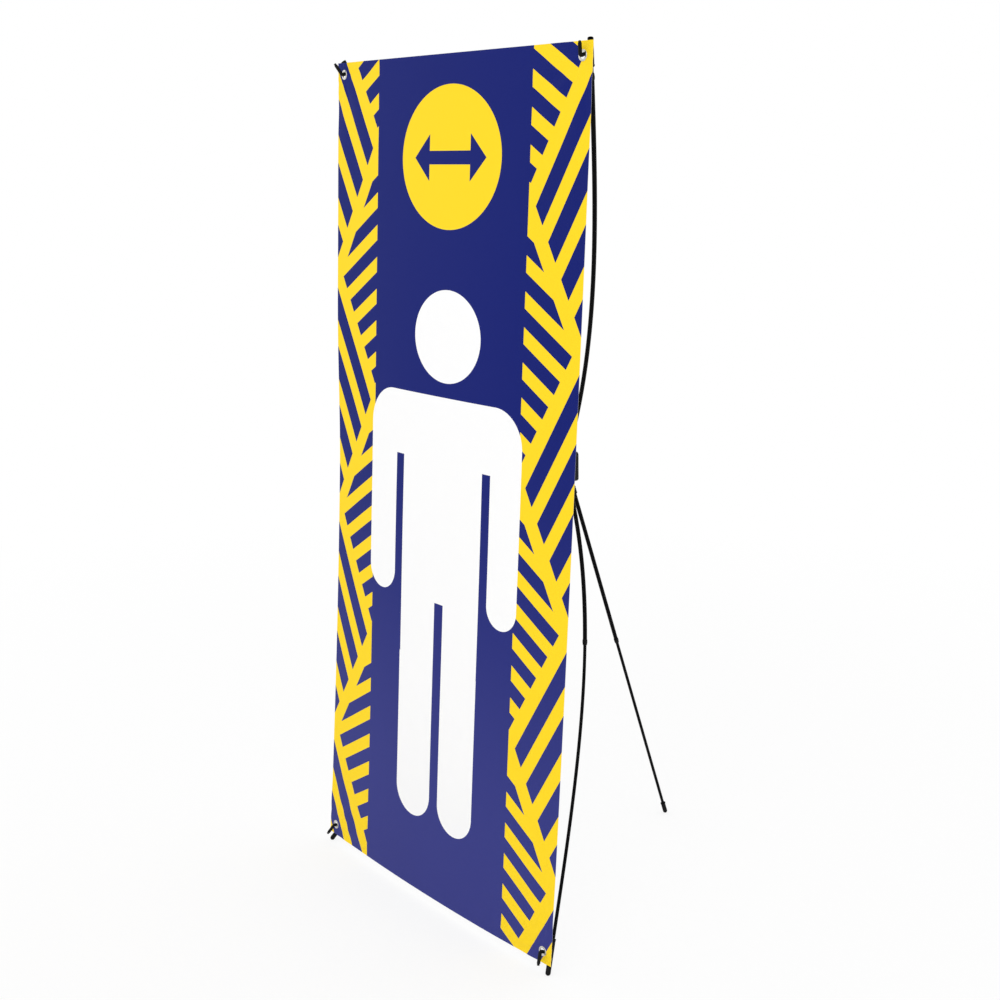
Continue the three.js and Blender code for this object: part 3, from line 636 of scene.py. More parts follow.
def put(tree, kind, inputs=(), **settings):
    """Puts a node in a tree, with its settings and its inputs."""
    made = tree.nodes.new(kind)
    for key, value in settings.items():
        setattr(made, key, value)
    return join(tree, made, inputs)


class Number:
    """A number in a node tree, which can be used as in a formula. Each step puts in a Math node."""

    def __init__(self, tree, socket):
        self.tree = tree
        self.socket = socket

    def math(self, operation, *others):
        """The result of a Math node on it and others."""
        made = put(self.tree, "ShaderNodeMath", enumerate((self, *others)), operation=operation)
        return Number(self.tree, made.outputs[0])

    def __add__(self, other):
        return self.math("ADD", other)

    def __sub__(self, other):
        return self.math("SUBTRACT", other)

    def __mul__(self, other):
        return self.math("MULTIPLY", other)

    def __truediv__(self, other):
        return self.math("DIVIDE", other)

    def __abs__(self):
        return self.math("ABSOLUTE")

    def __or__(self, other):
        """The larger of two masks."""
        return self.at_least(other)

    def __invert__(self):
        """A mask's opposite."""
        return (self * -1.0) + 1.0

    def at_least(self, other):
        """The larger of the two."""
        return self.math("MAXIMUM", other)

    def below(self, other):
        """1 where it is less, or else 0."""
        return self.math("LESS_THAN", other)

    def above(self, other):
        """1 where it is more, or else 0."""
        return self.math("GREATER_THAN", other)

    def between(self, low, high):
        """1 where it lies between two values, or else 0."""
        return self.above(low) * self.below(high)

    def part(self):
        """What is left past the whole number below."""
        return self.math("FRACT")

    def to_and_fro(self, reach):
        """It, folded back and forth between 0 and a reach."""
        return self.math("PINGPONG", reach)


def new_group(name, inputs, outputs):
    """A shader node group with named inputs, each with a default, and named outputs. An input without
    a default is a vector."""
    group = bpy.data.node_groups.new(name, "ShaderNodeTree")
    for title, default in inputs.items():
        kind = "NodeSocketVector" if default is None else "NodeSocketFloat"
        socket = group.interface.new_socket(title, in_out="INPUT", socket_type=kind)
        if default is not None:
            socket.default_value = default
    for title in outputs:
        group.interface.new_socket(title, in_out="OUTPUT", socket_type="NodeSocketFloat")
    given = put(group, "NodeGroupInput").outputs
    return group, given, put(group, "NodeGroupOutput")


def use_group(tree, group, inputs):
    """The outputs of a group that is placed in a material with its own values."""
    return put(tree, "ShaderNodeGroup", inputs, node_tree=group).outputs


def noise(tree, vector, scale, detail, **more):
    """A noise from 0 to 1."""
    inputs = {"Vector": vector, "Scale": scale, "Detail": detail, **more}
    return Number(tree, put(tree, "ShaderNodeTexNoise", inputs).outputs[0])


def spread(tree, value, low, high, start=0.0, end=1.0, **settings):
    """A value that goes from start to end, spread over a range from low to high."""
    inputs = {"Value": value, "From Min": start, "From Max": end, "To Min": low, "To Max": high}
    return Number(tree, put(tree, "ShaderNodeMapRange", inputs, **settings).outputs[0])


def mix_colour(tree, share, first, second):
    """Two colours mixed by a share. A colour is three numbers or another output."""
    first, second = (
        colour if isinstance(colour, bpy.types.NodeSocket) else (*colour, 1.0)
        for colour in (first, second)
    )
    return put(tree, "ShaderNodeMix", {0: share, 6: first, 7: second}, data_type="RGBA").outputs[2]


def bump(tree, height, distance):
    """A normal, from a height from 0 to 1 over a distance in metres."""
    inputs = {"Height": height, "Distance": distance, "Strength": 1.0}
    return put(tree, "ShaderNodeBump", inputs).outputs[0]


def toned(colour, times, plus=0.0):
    """A colour made darker or paler."""
    return tuple(c * times + plus for c in colour)


def grain_group():
    """Fine mould grain: two noises, one three times as fine as the other, mixed into one height."""
    group, given, result = new_group("Fine Grain", {"Vector": None, "Scale": 900.0}, ["Height"])
    coarse = noise(group, given["Vector"], given["Scale"], 2.0, Roughness=0.6)
    fine = noise(group, given["Vector"], Number(group, given["Scale"]) * 3.1, 1.0)
    join(group, result, {"Height": coarse * 0.65 + fine * 0.35})
    return group


def scuff_group():
    """Scuffs: thin bright lines where a stretched noise crosses its middle, kept to a few patches."""
    given_values = {"Vector": None, "Scale": 60.0, "Amount": 0.5}
    group, given, result = new_group("Scuffs", given_values, ["Lines", "Patches"])
    stretch = {"Vector": given["Vector"], "Rotation": (0.5, 0.9, 0.3), "Scale": (1.0, 5.0, 1.6)}
    stretched = put(group, "ShaderNodeMapping", stretch).outputs[0]
    lines = noise(group, stretched, given["Scale"], 3.0, Distortion=0.4)
    patches = noise(group, given["Vector"], Number(group, given["Scale"]) * 0.35, 2.0)
    thin = abs(lines - 0.5).below(0.006)
    shown = spread(group, patches, 0.0, 1.0, 0.52, 0.66) * Number(group, given["Amount"])
    join(group, result, {"Lines": thin * shown, "Patches": shown})
    return group


def streak_group():
    """Lengthwise streaks on a pole: noise that is drawn out along the pole's own length."""
    given_values = {"Vector": None, "Round": 40.0, "Along": 12.0}
    group, given, result = new_group("Lengthwise Streaks", given_values, ["Height", "Shade"])
    parts = put(group, "ShaderNodeSeparateXYZ", {"Vector": given["Vector"]}).outputs
    turn = Number(group, parts[1]) * FULL_TURN
    length = Number(group, parts[0]) * Number(group, given["Along"])
    scale = Number(group, given["Round"])
    around = {"X": length, "Y": turn.math("COSINE") * scale, "Z": turn.math("SINE") * scale}
    place = put(group, "ShaderNodeCombineXYZ", around).outputs[0]
    fine, broad = noise(group, place, 1.0, 3.0), noise(group, place, 0.2, 2.0)
    join(group, result, {"Height": fine, "Shade": broad})
    return group


def box_mask(x, y, sides):
    """1 inside a straight box."""
    left, right, bottom, top = sides
    return x.between(left, right) * y.between(bottom, top)


def oval_mask(x, y, form):
    """1 inside an oval: the squares of the shares of its two half sizes add up to less than 1."""
    middle_x, middle_y, half_x, half_y = form
    across, up = (x - middle_x) / half_x, (y - middle_y) / half_y
    return (across * across + up * up).below(1.0)


def rounded_mask(x, y, sides, radius):
    """1 inside a box with round corners: nearer than the radius to the box drawn in by the radius."""
    left, right, bottom, top = sides
    across = (abs(x - (left + right) / 2) - ((right - left) / 2 - radius)).at_least(0.0)
    up = (abs(y - (bottom + top) / 2) - ((top - bottom) / 2 - radius)).at_least(0.0)
    return (across * across + up * up).below(radius**2)


def arrow_mask(x, y, form):
    """1 inside a plain arrow with two heads, in the middle of a disc: a thin bar, and heads whose half
    height falls off evenly to their tips."""
    middle_x, middle_y, half_x, _ = form
    out, up = abs(x - middle_x), abs(y - middle_y)
    tip = half_x * ARROW_TIP
    neck = tip * ARROW_NECK
    bar = out.below(neck) * up.below(half_x * ARROW_BAR_HALF)
    heads = out.above(neck - ARROW_OVERLAP) * up.below((out * -1.0 + tip) * ARROW_HEAD_SLOPE)
    return bar | heads


def border_mask(out, y, width, ribbon, pitch, module):
    """1 on the yellow of a border: a ribbon that zigzags between the border's edges, and on its two
    sides stripes that lean opposite ways. out is counted from the border's inner edge, and the ribbon's
    half width is square to it, by the product of the zigzag's two sides over its length."""
    share = out / width
    zigzag = (y / module).to_and_fro(1.0)
    beside = abs(share - zigzag) * (width * module / np.hypot(width, module))
    inner = share.below(zigzag)
    falling = ((y + out * FALLING_SLOPE) / pitch).part().below(FALLING_SHARE)
    from_middle = ((y - out * (module / width)) / (module / 2)).part() - 0.5
    stripes = inner * falling + ~inner * abs(from_middle).above(RISING_FROM)
    return (beside.below(ribbon) | stripes) * out.above(0.0)


def print_group(sheet):
    """The print: a plain standing figure, a disc with an arrow, and a border down each side."""
    group, given, result = new_group("Printed Artwork", {"Vector": None}, ["Yellow", "White"])
    parts = put(group, "ShaderNodeSeparateXYZ", {"Vector": given["Vector"]}).outputs
    x, y = Number(group, parts[0]) * SHEET_WIDTH, Number(group, parts[1]) * SHEET_HEIGHT
    body = rounded_mask(x, y, TRUNK, SHOULDER_RADIUS) | box_mask(x, y, BELLY)
    for limb in (LEFT_ARM, RIGHT_ARM, LEFT_LEG, RIGHT_LEG):
        body = body | rounded_mask(x, y, limb, (limb[1] - limb[0]) / 2)
    slits = box_mask(x, y, LEFT_SLIT) | box_mask(x, y, RIGHT_SLIT)
    left, right = sheet.left_border, sheet.right_border
    sizes = (sheet.ribbon_width / 2, sheet.stripe_pitch, sheet.zigzag_height)
    border = border_mask(x * -1.0 + left, y, left, *sizes)
    from_right = x - (SHEET_WIDTH - right)
    border = border | border_mask(from_right, y + RIGHT_BORDER_DROP, right, *sizes)
    disc = oval_mask(x, y, DISC) * ~arrow_mask(x, y, DISC)
    white = oval_mask(x, y, HEAD) | (body * ~slits)
    join(group, result, {"Yellow": border | disc, "White": white})
    return group


# Materials

def blank(name):
    """A new material's tree, its shader, and its coordinates."""
    material = bpy.data.materials.new(name)
    material.use_nodes = True
    tree = material.node_tree
    tree.nodes.clear()
    shader = put(tree, "ShaderNodeBsdfPrincipled")
    put(tree, "ShaderNodeOutputMaterial", {"Surface": shader.outputs[0]})
    return material, tree, shader, put(tree, "ShaderNodeTexCoord").outputs


def grained(tree, groups, at, scale):
    """The height of the fine grain on a piece."""
    given = {"Vector": at["Object"], "Scale": scale}
    return use_group(tree, groups["grain"], given)["Height"]


def scuffed(tree, groups, at, scale, wear):
    """The scuffs' lines and patches on a piece."""
    given = {"Vector": at["Object"], "Scale": scale, "Amount": wear}
    scuffs = use_group(tree, groups["scuffs"], given)
    return Number(tree, scuffs["Lines"]), Number(tree, scuffs["Patches"])


def plastic_finish(name, colour, roughness, groups, grain_scale, grain_depth, wear):
    """Moulded black plastic or rubber: mould grain, dull patches and a few pale scuffs."""
    _, tree, shader, at = blank(name)
    grain = grained(tree, groups, at, grain_scale)
    lines, patches = scuffed(tree, groups, at, 70.0, wear)
    worn = toned(colour, 3, 0.006)
    patched = mix_colour(tree, spread(tree, patches, 0.0, 0.35), colour, worn)
    rough = spread(tree, grain, roughness - 0.07, roughness + 0.07)
    join(tree, shader, {
        "Base Color": mix_colour(tree, lines, patched, worn),
        "Roughness": rough + patches * 0.12,
        "Specular IOR Level": 0.14,
        "Normal": bump(tree, grain, grain_depth),
    })


def pole_finish(name, pole, groups):
    """Pultruded glass-fibre pole: satin black, with streaks drawn out along its length."""
    _, tree, shader, at = blank(name)
    streaks = use_group(tree, groups["streaks"], {"Vector": at["UV"]})
    lines, patches = scuffed(tree, groups, at, 45.0, pole.wear)
    colour = tuple(pole.colour)
    shade = spread(tree, streaks["Shade"], 0.0, 1.0)
    streaked = mix_colour(tree, shade, colour, toned(colour, 1.9))
    rough = spread(tree, streaks["Height"], 0.24, 0.42)
    join(tree, shader, {
        "Base Color": mix_colour(tree, lines, streaked, toned(colour, 4, 0.01)),
        "Roughness": rough + patches * 0.15,
        "Specular IOR Level": 0.05,
        "Normal": bump(tree, streaks["Height"], 0.00006),
    })


def metal_finish(name, colour, roughness, groups, grain_scale, wear):
    """Plated or blackened metal: faint polishing grain and hairline scratches."""
    _, tree, shader, at = blank(name)
    grain = grained(tree, groups, at, grain_scale)
    lines, patches = scuffed(tree, groups, at, 120.0, wear)
    rough = spread(tree, grain, roughness - 0.06, roughness + 0.08)
    join(tree, shader, {
        "Metallic": 1.0,
        "Base Color": mix_colour(tree, patches, colour, toned(colour, 0.72)),
        "Roughness": rough + patches * 0.18 + lines * 0.3,
        "Normal": bump(tree, grain, 0.00002),
    })


def sheet_finish(name, sheet, groups):
    """The printed film: ink on the front, whose cover varies a little and whose blue ground is painted
    paler towards the foot as a painted sheen, the white floor's reflection, under a matt laminate with a
    very fine grain, and bare white film at the back."""
    _, tree, shader, at = blank(name)
    art = use_group(tree, print_group(sheet), {"Vector": at["UV"]})
    printed = put(tree, "ShaderNodeAttribute", attribute_name="printed").outputs["Fac"]
    ink = spread(tree, noise(tree, at["Object"], 3.0, 4.0), 0.93, 1.07)
    height = put(tree, "ShaderNodeSeparateXYZ", {"Vector": at["UV"]}).outputs[1]
    # Painted sheen: the blue ground goes paler towards the foot, a painted reflection of the white floor
    # in the lower sheet.
    thin = spread(tree, height, 0.0, 1.0, 0.64, 0.06, interpolation_type="SMOOTHSTEP")
    ground = mix_colour(tree, thin, tuple(sheet.ground), tuple(sheet.painted_sheen_ground))
    inked = mix_colour(tree, ink, (0.0, 0.0, 0.0), ground)
    coloured = mix_colour(tree, art["Yellow"], inked, tuple(sheet.accent))
    front = mix_colour(tree, art["White"], coloured, tuple(sheet.film))
    grain = grained(tree, groups, at, 1400.0)
    join(tree, shader, {
        "Base Color": mix_colour(tree, printed, tuple(sheet.back), front),
        "Roughness": spread(tree, grain, 0.46, 0.60),
        "Specular IOR Level": 0.1,
        "Normal": bump(tree, grain, 0.00003),
    })


# The material of each slot
FINISHES = {
    "moulded_plastic": "Moulded Plastic",
    "foot_rubber": "Foot Rubber",
    "pole": "Pole Fibre",
    "nickel": "Nickel Plate",
    "dark_steel": "Blackened Steel",
    "printed_film": "Printed Film",
}


def make_finishes(scene):
    """Makes the stand's materials from the scene's settings."""
    groups = {"grain": grain_group(), "scuffs": scuff_group(), "streaks": streak_group()}
    parts = scene.banner_hardware
    black, rubber, nickel, steel = (
        tuple(colour) for colour in (parts.plastic, parts.rubber, parts.nickel, parts.steel)
    )
    plastic_finish(FINISHES["moulded_plastic"], black, 0.42, groups, 1500.0, 0.00005, parts.wear)
    plastic_finish(FINISHES["foot_rubber"], rubber, 0.62, groups, 900.0, 0.00008, parts.wear)
    pole_finish(FINISHES["pole"], scene.banner_poles, groups)
    metal_finish(FINISHES["nickel"], nickel, 0.2, groups, 2500.0, 0.5)
    metal_finish(FINISHES["dark_steel"], steel, 0.38, groups, 1800.0, 0.6)
    sheet_finish(FINISHES["printed_film"], scene.banner_sheet, groups)


def finish(slot):
    """A slot's material. The first call makes them all."""
    if FINISHES[slot] not in bpy.data.materials:
        make_finishes(bpy.context.scene)
    return bpy.data.materials[FINISHES[slot]]


# Properties

class BannerSheetSettings(bpy.types.PropertyGroup):
    """The print's colours and the sheet's creases."""

    ground: FloatVectorProperty(
        name="Ground", description="Deep blue of the print's ground", subtype="COLOR",
        default=(0.0040, 0.0115, 0.160), min=0.0, max=1.0)
    # Painted sheen: the paler blue that the ground is painted towards the foot, for the white floor's
    # reflection.
    painted_sheen_ground: FloatVectorProperty(
        name="Painted Sheen Ground", description="The ground's blue near the foot, painted paler as a sheen",
        subtype="COLOR", default=(0.0370, 0.0430, 0.228), min=0.0, max=1.0)
    accent: FloatVectorProperty(
        name="Accent", description="Yellow of the borders and the disc", subtype="COLOR",
        default=(1.0, 0.70, 0.016), min=0.0, max=1.0)
    film: FloatVectorProperty(
        name="Film", description="White of the figure, where the film is bare", subtype="COLOR",
        default=(0.96, 0.96, 0.96), min=0.0, max=1.0)
    back: FloatVectorProperty(
        name="Back", description="White of the film's back", subtype="COLOR",
        default=(0.83, 0.83, 0.82), min=0.0, max=1.0)
    left_border: FloatProperty(
        name="Left Border", description="Width of the left border", default=0.1625,
        unit="LENGTH")
    right_border: FloatProperty(
        name="Right Border", description="Width of the right border", default=0.151,
        unit="LENGTH")
    ribbon_width: FloatProperty(
        name="Ribbon", description="Width of the border's zigzag ribbon", default=0.034,
        unit="LENGTH")
    stripe_pitch: FloatProperty(
        name="Stripe Pitch", description="Distance between two stripes, measured upright",
        default=0.068, unit="LENGTH")
    zigzag_height: FloatProperty(
        name="Zigzag Height", description="Height of one limb of the zigzag", default=0.270,
        unit="LENGTH")
    crease_depth: FloatProperty(
        name="Crease Depth", description="Depth of the pull creases round the rings",
        default=0.0007, unit="LENGTH")
    wave_depth: FloatProperty(
        name="Wave Depth", description="Depth of the slow waves of the film", default=0.0008,
        unit="LENGTH")
    columns: IntProperty(name="Columns", description="Cells across the sheet's middle", default=90)
    rows: IntProperty(name="Rows", description="Cells up the sheet's middle", default=210)


class PoleSettings(bpy.types.PropertyGroup):
    """The poles' colour and fineness."""

    colour: FloatVectorProperty(
        name="Colour", description="Black of the poles", subtype="COLOR",
        default=(0.0010, 0.0010, 0.0013), min=0.0, max=1.0)
    wear: FloatProperty(
        name="Wear", description="Amount of scuffs", default=0.5, min=0.0, max=1.0,
        subtype="FACTOR")
    sides: IntProperty(name="Sides", description="Points round a pole", default=32)
    step: FloatProperty(
        name="Step", description="Distance between two rings of a bent pole", default=0.008,
        unit="LENGTH")


class HardwareSettings(bpy.types.PropertyGroup):
    """Colours and fineness of the mouldings, the rings and the pins."""

    plastic: FloatVectorProperty(
        name="Plastic", description="Black of the moulded parts", subtype="COLOR",
        default=(0.0016, 0.0016, 0.0019), min=0.0, max=1.0)
    rubber: FloatVectorProperty(
        name="Rubber", description="Black of the leg's foot", subtype="COLOR",
        default=(0.0020, 0.0020, 0.0023), min=0.0, max=1.0)
    nickel: FloatVectorProperty(
        name="Nickel", description="Colour of the rings", subtype="COLOR",
        default=(0.60, 0.58, 0.54), min=0.0, max=1.0)
    steel: FloatVectorProperty(
        name="Steel", description="Colour of the pins and screws", subtype="COLOR",
        default=(0.055, 0.055, 0.06), min=0.0, max=1.0)
    wear: FloatProperty(
        name="Wear", description="Amount of scuffs", default=0.55, min=0.0, max=1.0,
        subtype="FACTOR")
    sides: IntProperty(name="Sides", description="Points round a cap", default=48)
    edge: FloatProperty(
        name="Edge", description="Radius of the hub's moulded edges", default=0.0005,
        unit="LENGTH")


class StudioSettings(bpy.types.PropertyGroup):
    """The camera's place in the sheet's frame, and the light."""

    place: FloatVectorProperty(
        name="Camera", description="Camera, from the foot of the sheet, on the floor",
        subtype="TRANSLATION", default=(2.301134, -1.797084, 1.560775))
    azimuth: FloatProperty(
        name="Azimuth", description="Turn of the camera round the stand", subtype="ANGLE",
        default=0.8682887)
    elevation: FloatProperty(
        name="Elevation", description="Tilt of the camera", subtype="ANGLE", default=0.2243018)
    roll: FloatProperty(
        name="Roll", description="Roll of the camera", subtype="ANGLE", default=0.0201587)
    lens: FloatProperty(
        name="Lens", description="Focal length, in millimetres", default=51.1717)
    shift: FloatVectorProperty(
        name="Shift", description="Shift of the camera, in shares of the picture", size=2,
        default=(0.010526, 0.013457))
    key: FloatProperty(name="Key", description="Power of the main lamp, in watts", default=38.0)
    fill: FloatProperty(
        name="Fill", description="Power of each of the two other lamps, in watts", default=10.0)
    sky: FloatProperty(name="Sky", description="Strength of the even light", default=0.90)


# The sheet and its rings

def grid_lines(length, cells):
    """Places of the grid's lines: fine cells over each ring, and even ones between. Also how many cells
    lie outside a ring, and how many over it."""
    half, fine, outer = 0.012, 12, 3
    near, far = RING_INSET - half, RING_INSET + half
    spans = [
        np.linspace(0, near, outer + 1)[:-1],
        np.linspace(near, far, fine + 1)[:-1],
        np.linspace(far, length - far, cells + 1)[:-1],
        np.linspace(length - far, length - near, fine + 1)[:-1],
        np.linspace(length - near, length, outer + 1),
    ]
    return np.concatenate(spans), outer, fine


def wall(outer, inner):
    """Quads between two loops of as many points."""
    return np.stack([outer, np.roll(outer, -1), np.roll(inner, -1), inner], axis=-1)


def flat_film(sheet):
    """The flat grid with its four round holes: its points, its quads and the loops of its rims. Each
    hole takes a square of cells out of the grid and fills it with rings of points, which go over from
    the square to the circle in even steps."""
    xs, outer, fine = grid_lines(SHEET_WIDTH, sheet.columns)
    ys, _, _ = grid_lines(SHEET_HEIGHT, sheet.rows)
    columns, rows = len(xs), len(ys)
    flat = np.stack(np.meshgrid(xs, ys), axis=-1).reshape(-1, 2)
    index = np.arange(rows * columns).reshape(rows, columns)
    keep = np.ones((rows - 1, columns - 1), bool)
    steps, count = 4, len(flat)
    loops, points, faces = [], [flat], []
    for name in ARMS:
        left = outer if SIDE[name] < 0 else columns - 1 - outer - fine
        low = outer if LEVEL[name] < 0 else rows - 1 - outer - fine
        right, high = left + fine, low + fine
        keep[low:high, left:right] = False
        loop = np.concatenate([
            index[low, left:right], index[low:high, right],
            index[high, right:left:-1], index[high:low:-1, left],
        ])
        square, centre = flat[loop], ring_flat(name)
        angle = np.arctan2(*(square - centre).T[::-1])
        hole = (RING_BARREL + SEAT_GAP) * np.stack([np.cos(angle), np.sin(angle)], axis=-1)
        for step in range(1, steps + 1):
            points.append(square + (centre + hole - square) * (step / steps))
            ring = count + np.arange(len(loop))
            count += len(loop)
            faces.append(wall(loop, ring))
            loop = ring
        loops.append(loop[::-1])
    corners = [index[:-1, :-1], index[:-1, 1:], index[1:, 1:], index[1:, :-1]]
    cells = np.stack(corners, axis=-1)[keep]
    edge = [index[0, :-1], index[:-1, -1], index[-1, :0:-1], index[:0:-1, 0]]
    loops.append(np.concatenate(edge))
    return np.concatenate(points), np.concatenate([cells, *faces]), loops


def film_mesh(sheet):
    """The film as one closed sheet: the flat grid is mapped to its form, and moved half its thickness
    along the normal to either side, with walls between the rims."""
    flat, front, loops = flat_film(sheet)
    count = len(flat)
    middle = film_form(flat, sheet)
    normal = sheet_normal(flat, lambda points: film_form(points, sheet))
    half = normal * SHEET_THICK / 2
    points = placed(SHEET, np.concatenate([middle - half, middle + half]))
    rims = [wall(loop + count, loop) for loop in loops]
    faces = np.concatenate([front, front[:, ::-1] + count, *rims])
    mesh = bpy.data.meshes.new("film")
    mesh.from_pydata(points.tolist(), [], faces.tolist())
    share = np.tile(flat / [SHEET_WIDTH, SHEET_HEIGHT], (2, 1))
    mesh.uv_layers.new(name="surface").data.foreach_set("uv", share[faces.ravel()].ravel())
    printed = np.concatenate([np.ones(count), np.zeros(count)])
    mesh.attributes.new("printed", "FLOAT", "POINT").data.foreach_set("value", printed)
    mesh.shade_smooth()
    mesh.set_sharp_from_angle(angle=FILM_HARD_EDGE)
    return mesh


class BANNER_OT_sheet(bpy.types.Operator):
    """Make the printed sheet"""

    bl_idname = "banner_stand.sheet"
    bl_label = "Printed Sheet"

    def execute(self, context):
        mesh = film_mesh(context.scene.banner_sheet)
        film = piece("printed_sheet", mesh, "hub", "printed_film", "banner_sheet")
        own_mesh(film)
        return {"FINISHED"}


def grommet_profile():
    """A grommet: a flange with a crown and a round lip at the hole, the barrel through the sheet, and
    the roll that holds the washer."""
    front = -SHEET_THICK / 2 - RING_GAP
    face = front - RING_FLANGE_THICK
    back = ROLL_FRONT + RING_ROLL_THICK
    lip, crown, edge, roll_drop = 0.0012, 0.00005, 0.0004, 0.0002
    points = [
        (face + RING_FLANGE_THICK * 0.6, RING_HOLE),
        (face, RING_HOLE + lip),
        (face - crown, (RING_FLANGE + RING_BARREL) / 2),
        (face + RING_FLANGE_THICK * 0.45, RING_FLANGE - edge),
        (front, RING_FLANGE),
        (front, RING_BARREL),
        (ROLL_FRONT, RING_BARREL),
        (ROLL_FRONT, RING_ROLL),
        (back, (RING_ROLL + RING_BARREL) / 2),
        (back - roll_drop, RING_BARREL),
        (ROLL_FRONT, RING_HOLE),
    ]
    return softened(points, edge, 5, ring=True)


def washer_profile():
    """A flat washer with a drawn edge."""
    front = SHEET_THICK / 2 + RING_GAP
    back = front + WASHER_THICK
    bore, edge = RING_BARREL + RING_GAP, 0.0003
    points = [(front, bore), (front, RING_FLANGE), (back, RING_FLANGE - edge), (back, bore)]
    return softened(points, edge / 2, 3, ring=True)


class BANNER_OT_rings(bpy.types.Operator):
    """Make the corner rings, each a grommet and a washer"""

    bl_idname = "banner_stand.rings"
    bl_label = "Corner Rings"

    def execute(self, context):
        kinds = (("ring_", grommet_profile(), "grommet_"),
                 ("ring_washer_", washer_profile(), "grommet_washer_"))
        for name in ARMS:
            for kind, profile, node in kinds:
                mesh = turned(ring_frame(name), straight, profile, RING_FINE_SIDES, ring=True)
                piece(kind + name, mesh, "arm_" + name, "nickel", node + name)
        return {"FINISHED"}


# The poles

def pole_rings(start, end, step):
    """Places of a pole's rings between its ends."""
    return np.linspace(start, end, max(2, int((end - start) / step)))[1:-1]


def tube_profile(start, end, step):
    """A pole's thick part: closed at its foot and hollow at its end, as deep as the rod goes in."""
    edge = 0.0004
    floor = end - ROD_LAP - SEAT_GAP
    return [
        (start, 0.0),
        (start, TUBE_RADIUS - edge),
        (start + edge, TUBE_RADIUS),
        *[(s, TUBE_RADIUS) for s in pole_rings(start, end, step)],
        (end - edge, TUBE_RADIUS),
        (end, TUBE_RADIUS - edge),
        (end, TUBE_BORE),
        (end - ROD_LAP / 2, TUBE_BORE),
        (floor, TUBE_BORE),
        (floor, 0.0),
    ]


def rod_profile(start, end, step):
    """A pole's thin part, a solid rod with chamfered ends."""
    edge = 0.0005
    return [
        (start, 0.0),
        (start, ROD_RADIUS - edge),
        (start + edge, ROD_RADIUS),
        *[(s, ROD_RADIUS) for s in pole_rings(start, end, step)],
        (end - edge, ROD_RADIUS),
        (end, ROD_RADIUS - edge),
        (end, 0.0),
    ]


def collar_profile():
    """A collar: a sleeve on the tube's end, which steps in to a lip round the rod."""
    outside, inside = TUBE_RADIUS + SEAT_GAP / 2, TUBE_BORE - 0.0002
    step, edge = 0.0008, 0.0003
    points = [
        (-COLLAR_LAP, outside),
        (-COLLAR_LAP, COLLAR_RADIUS - 0.0002),
        (-COLLAR_LAP * 0.55, COLLAR_RADIUS),
        (-step, COLLAR_RADIUS),
        (step, COLLAR_RADIUS - edge),
        (COLLAR_LIP - step, COLLAR_TIP + 0.0001),
        (COLLAR_LIP, COLLAR_TIP - edge),
        (COLLAR_LIP, inside),
        (SEAT_GAP, inside),
        (SEAT_GAP, outside),
    ]
    return softened(points, 0.0004, 4, ring=True)


def pole(name, body, matrix, line, tube, rod, collar_at):
    """A pole's three pieces: its tube, its rod and the collar between them."""
    sides = bpy.context.scene.banner_poles.sides
    for kind, profile in (("tube_", tube), ("rod_", rod)):
        mesh = turned(matrix, line, profile, sides)
        piece(kind + name, mesh, body, "pole", "pole_" + kind + name)
    mesh = turned(collar_at, straight, collar_profile(), COLLAR_SIDES, ring=True)
    piece("collar_" + name, mesh, body, "moulded_plastic", "pole_collar_" + name)


class BANNER_OT_poles(bpy.types.Operator):
    """Make the poles' thick tubes, thin rods and collars"""

    bl_idname = "banner_stand.poles"
    bl_label = "Poles"

    def execute(self, context):
        step = context.scene.banner_poles.step
        for name in ARMS:
            arm = Arm(name)
            tube = tube_profile(arm.tube_from, arm.tube_to, step)
            rod = rod_profile(arm.tube_to - ROD_LAP, arm.rod_to, step)
            collar_at = arm.frame_at(arm.tube_to)
            pole(name, "arm_" + name, arm.matrix, arm.line, tube, rod, collar_at)
        start = SOCKET_FLOOR + SEAT_GAP
        end = start + LEG_TUBE
        rod_to = reach_to_floor(LEG_PIN, LEG_OUT) - CAP_RADIUS - CAP_FLOOR - SEAT_GAP
        tube = tube_profile(start, end, LEG_TUBE)
        rod = rod_profile(end - ROD_LAP, rod_to, LEG_TUBE)
        pole("leg", "rear_leg", leg_frame(0.0), straight, tube, rod, leg_frame(end))
        return {"FINISHED"}


# The knuckles

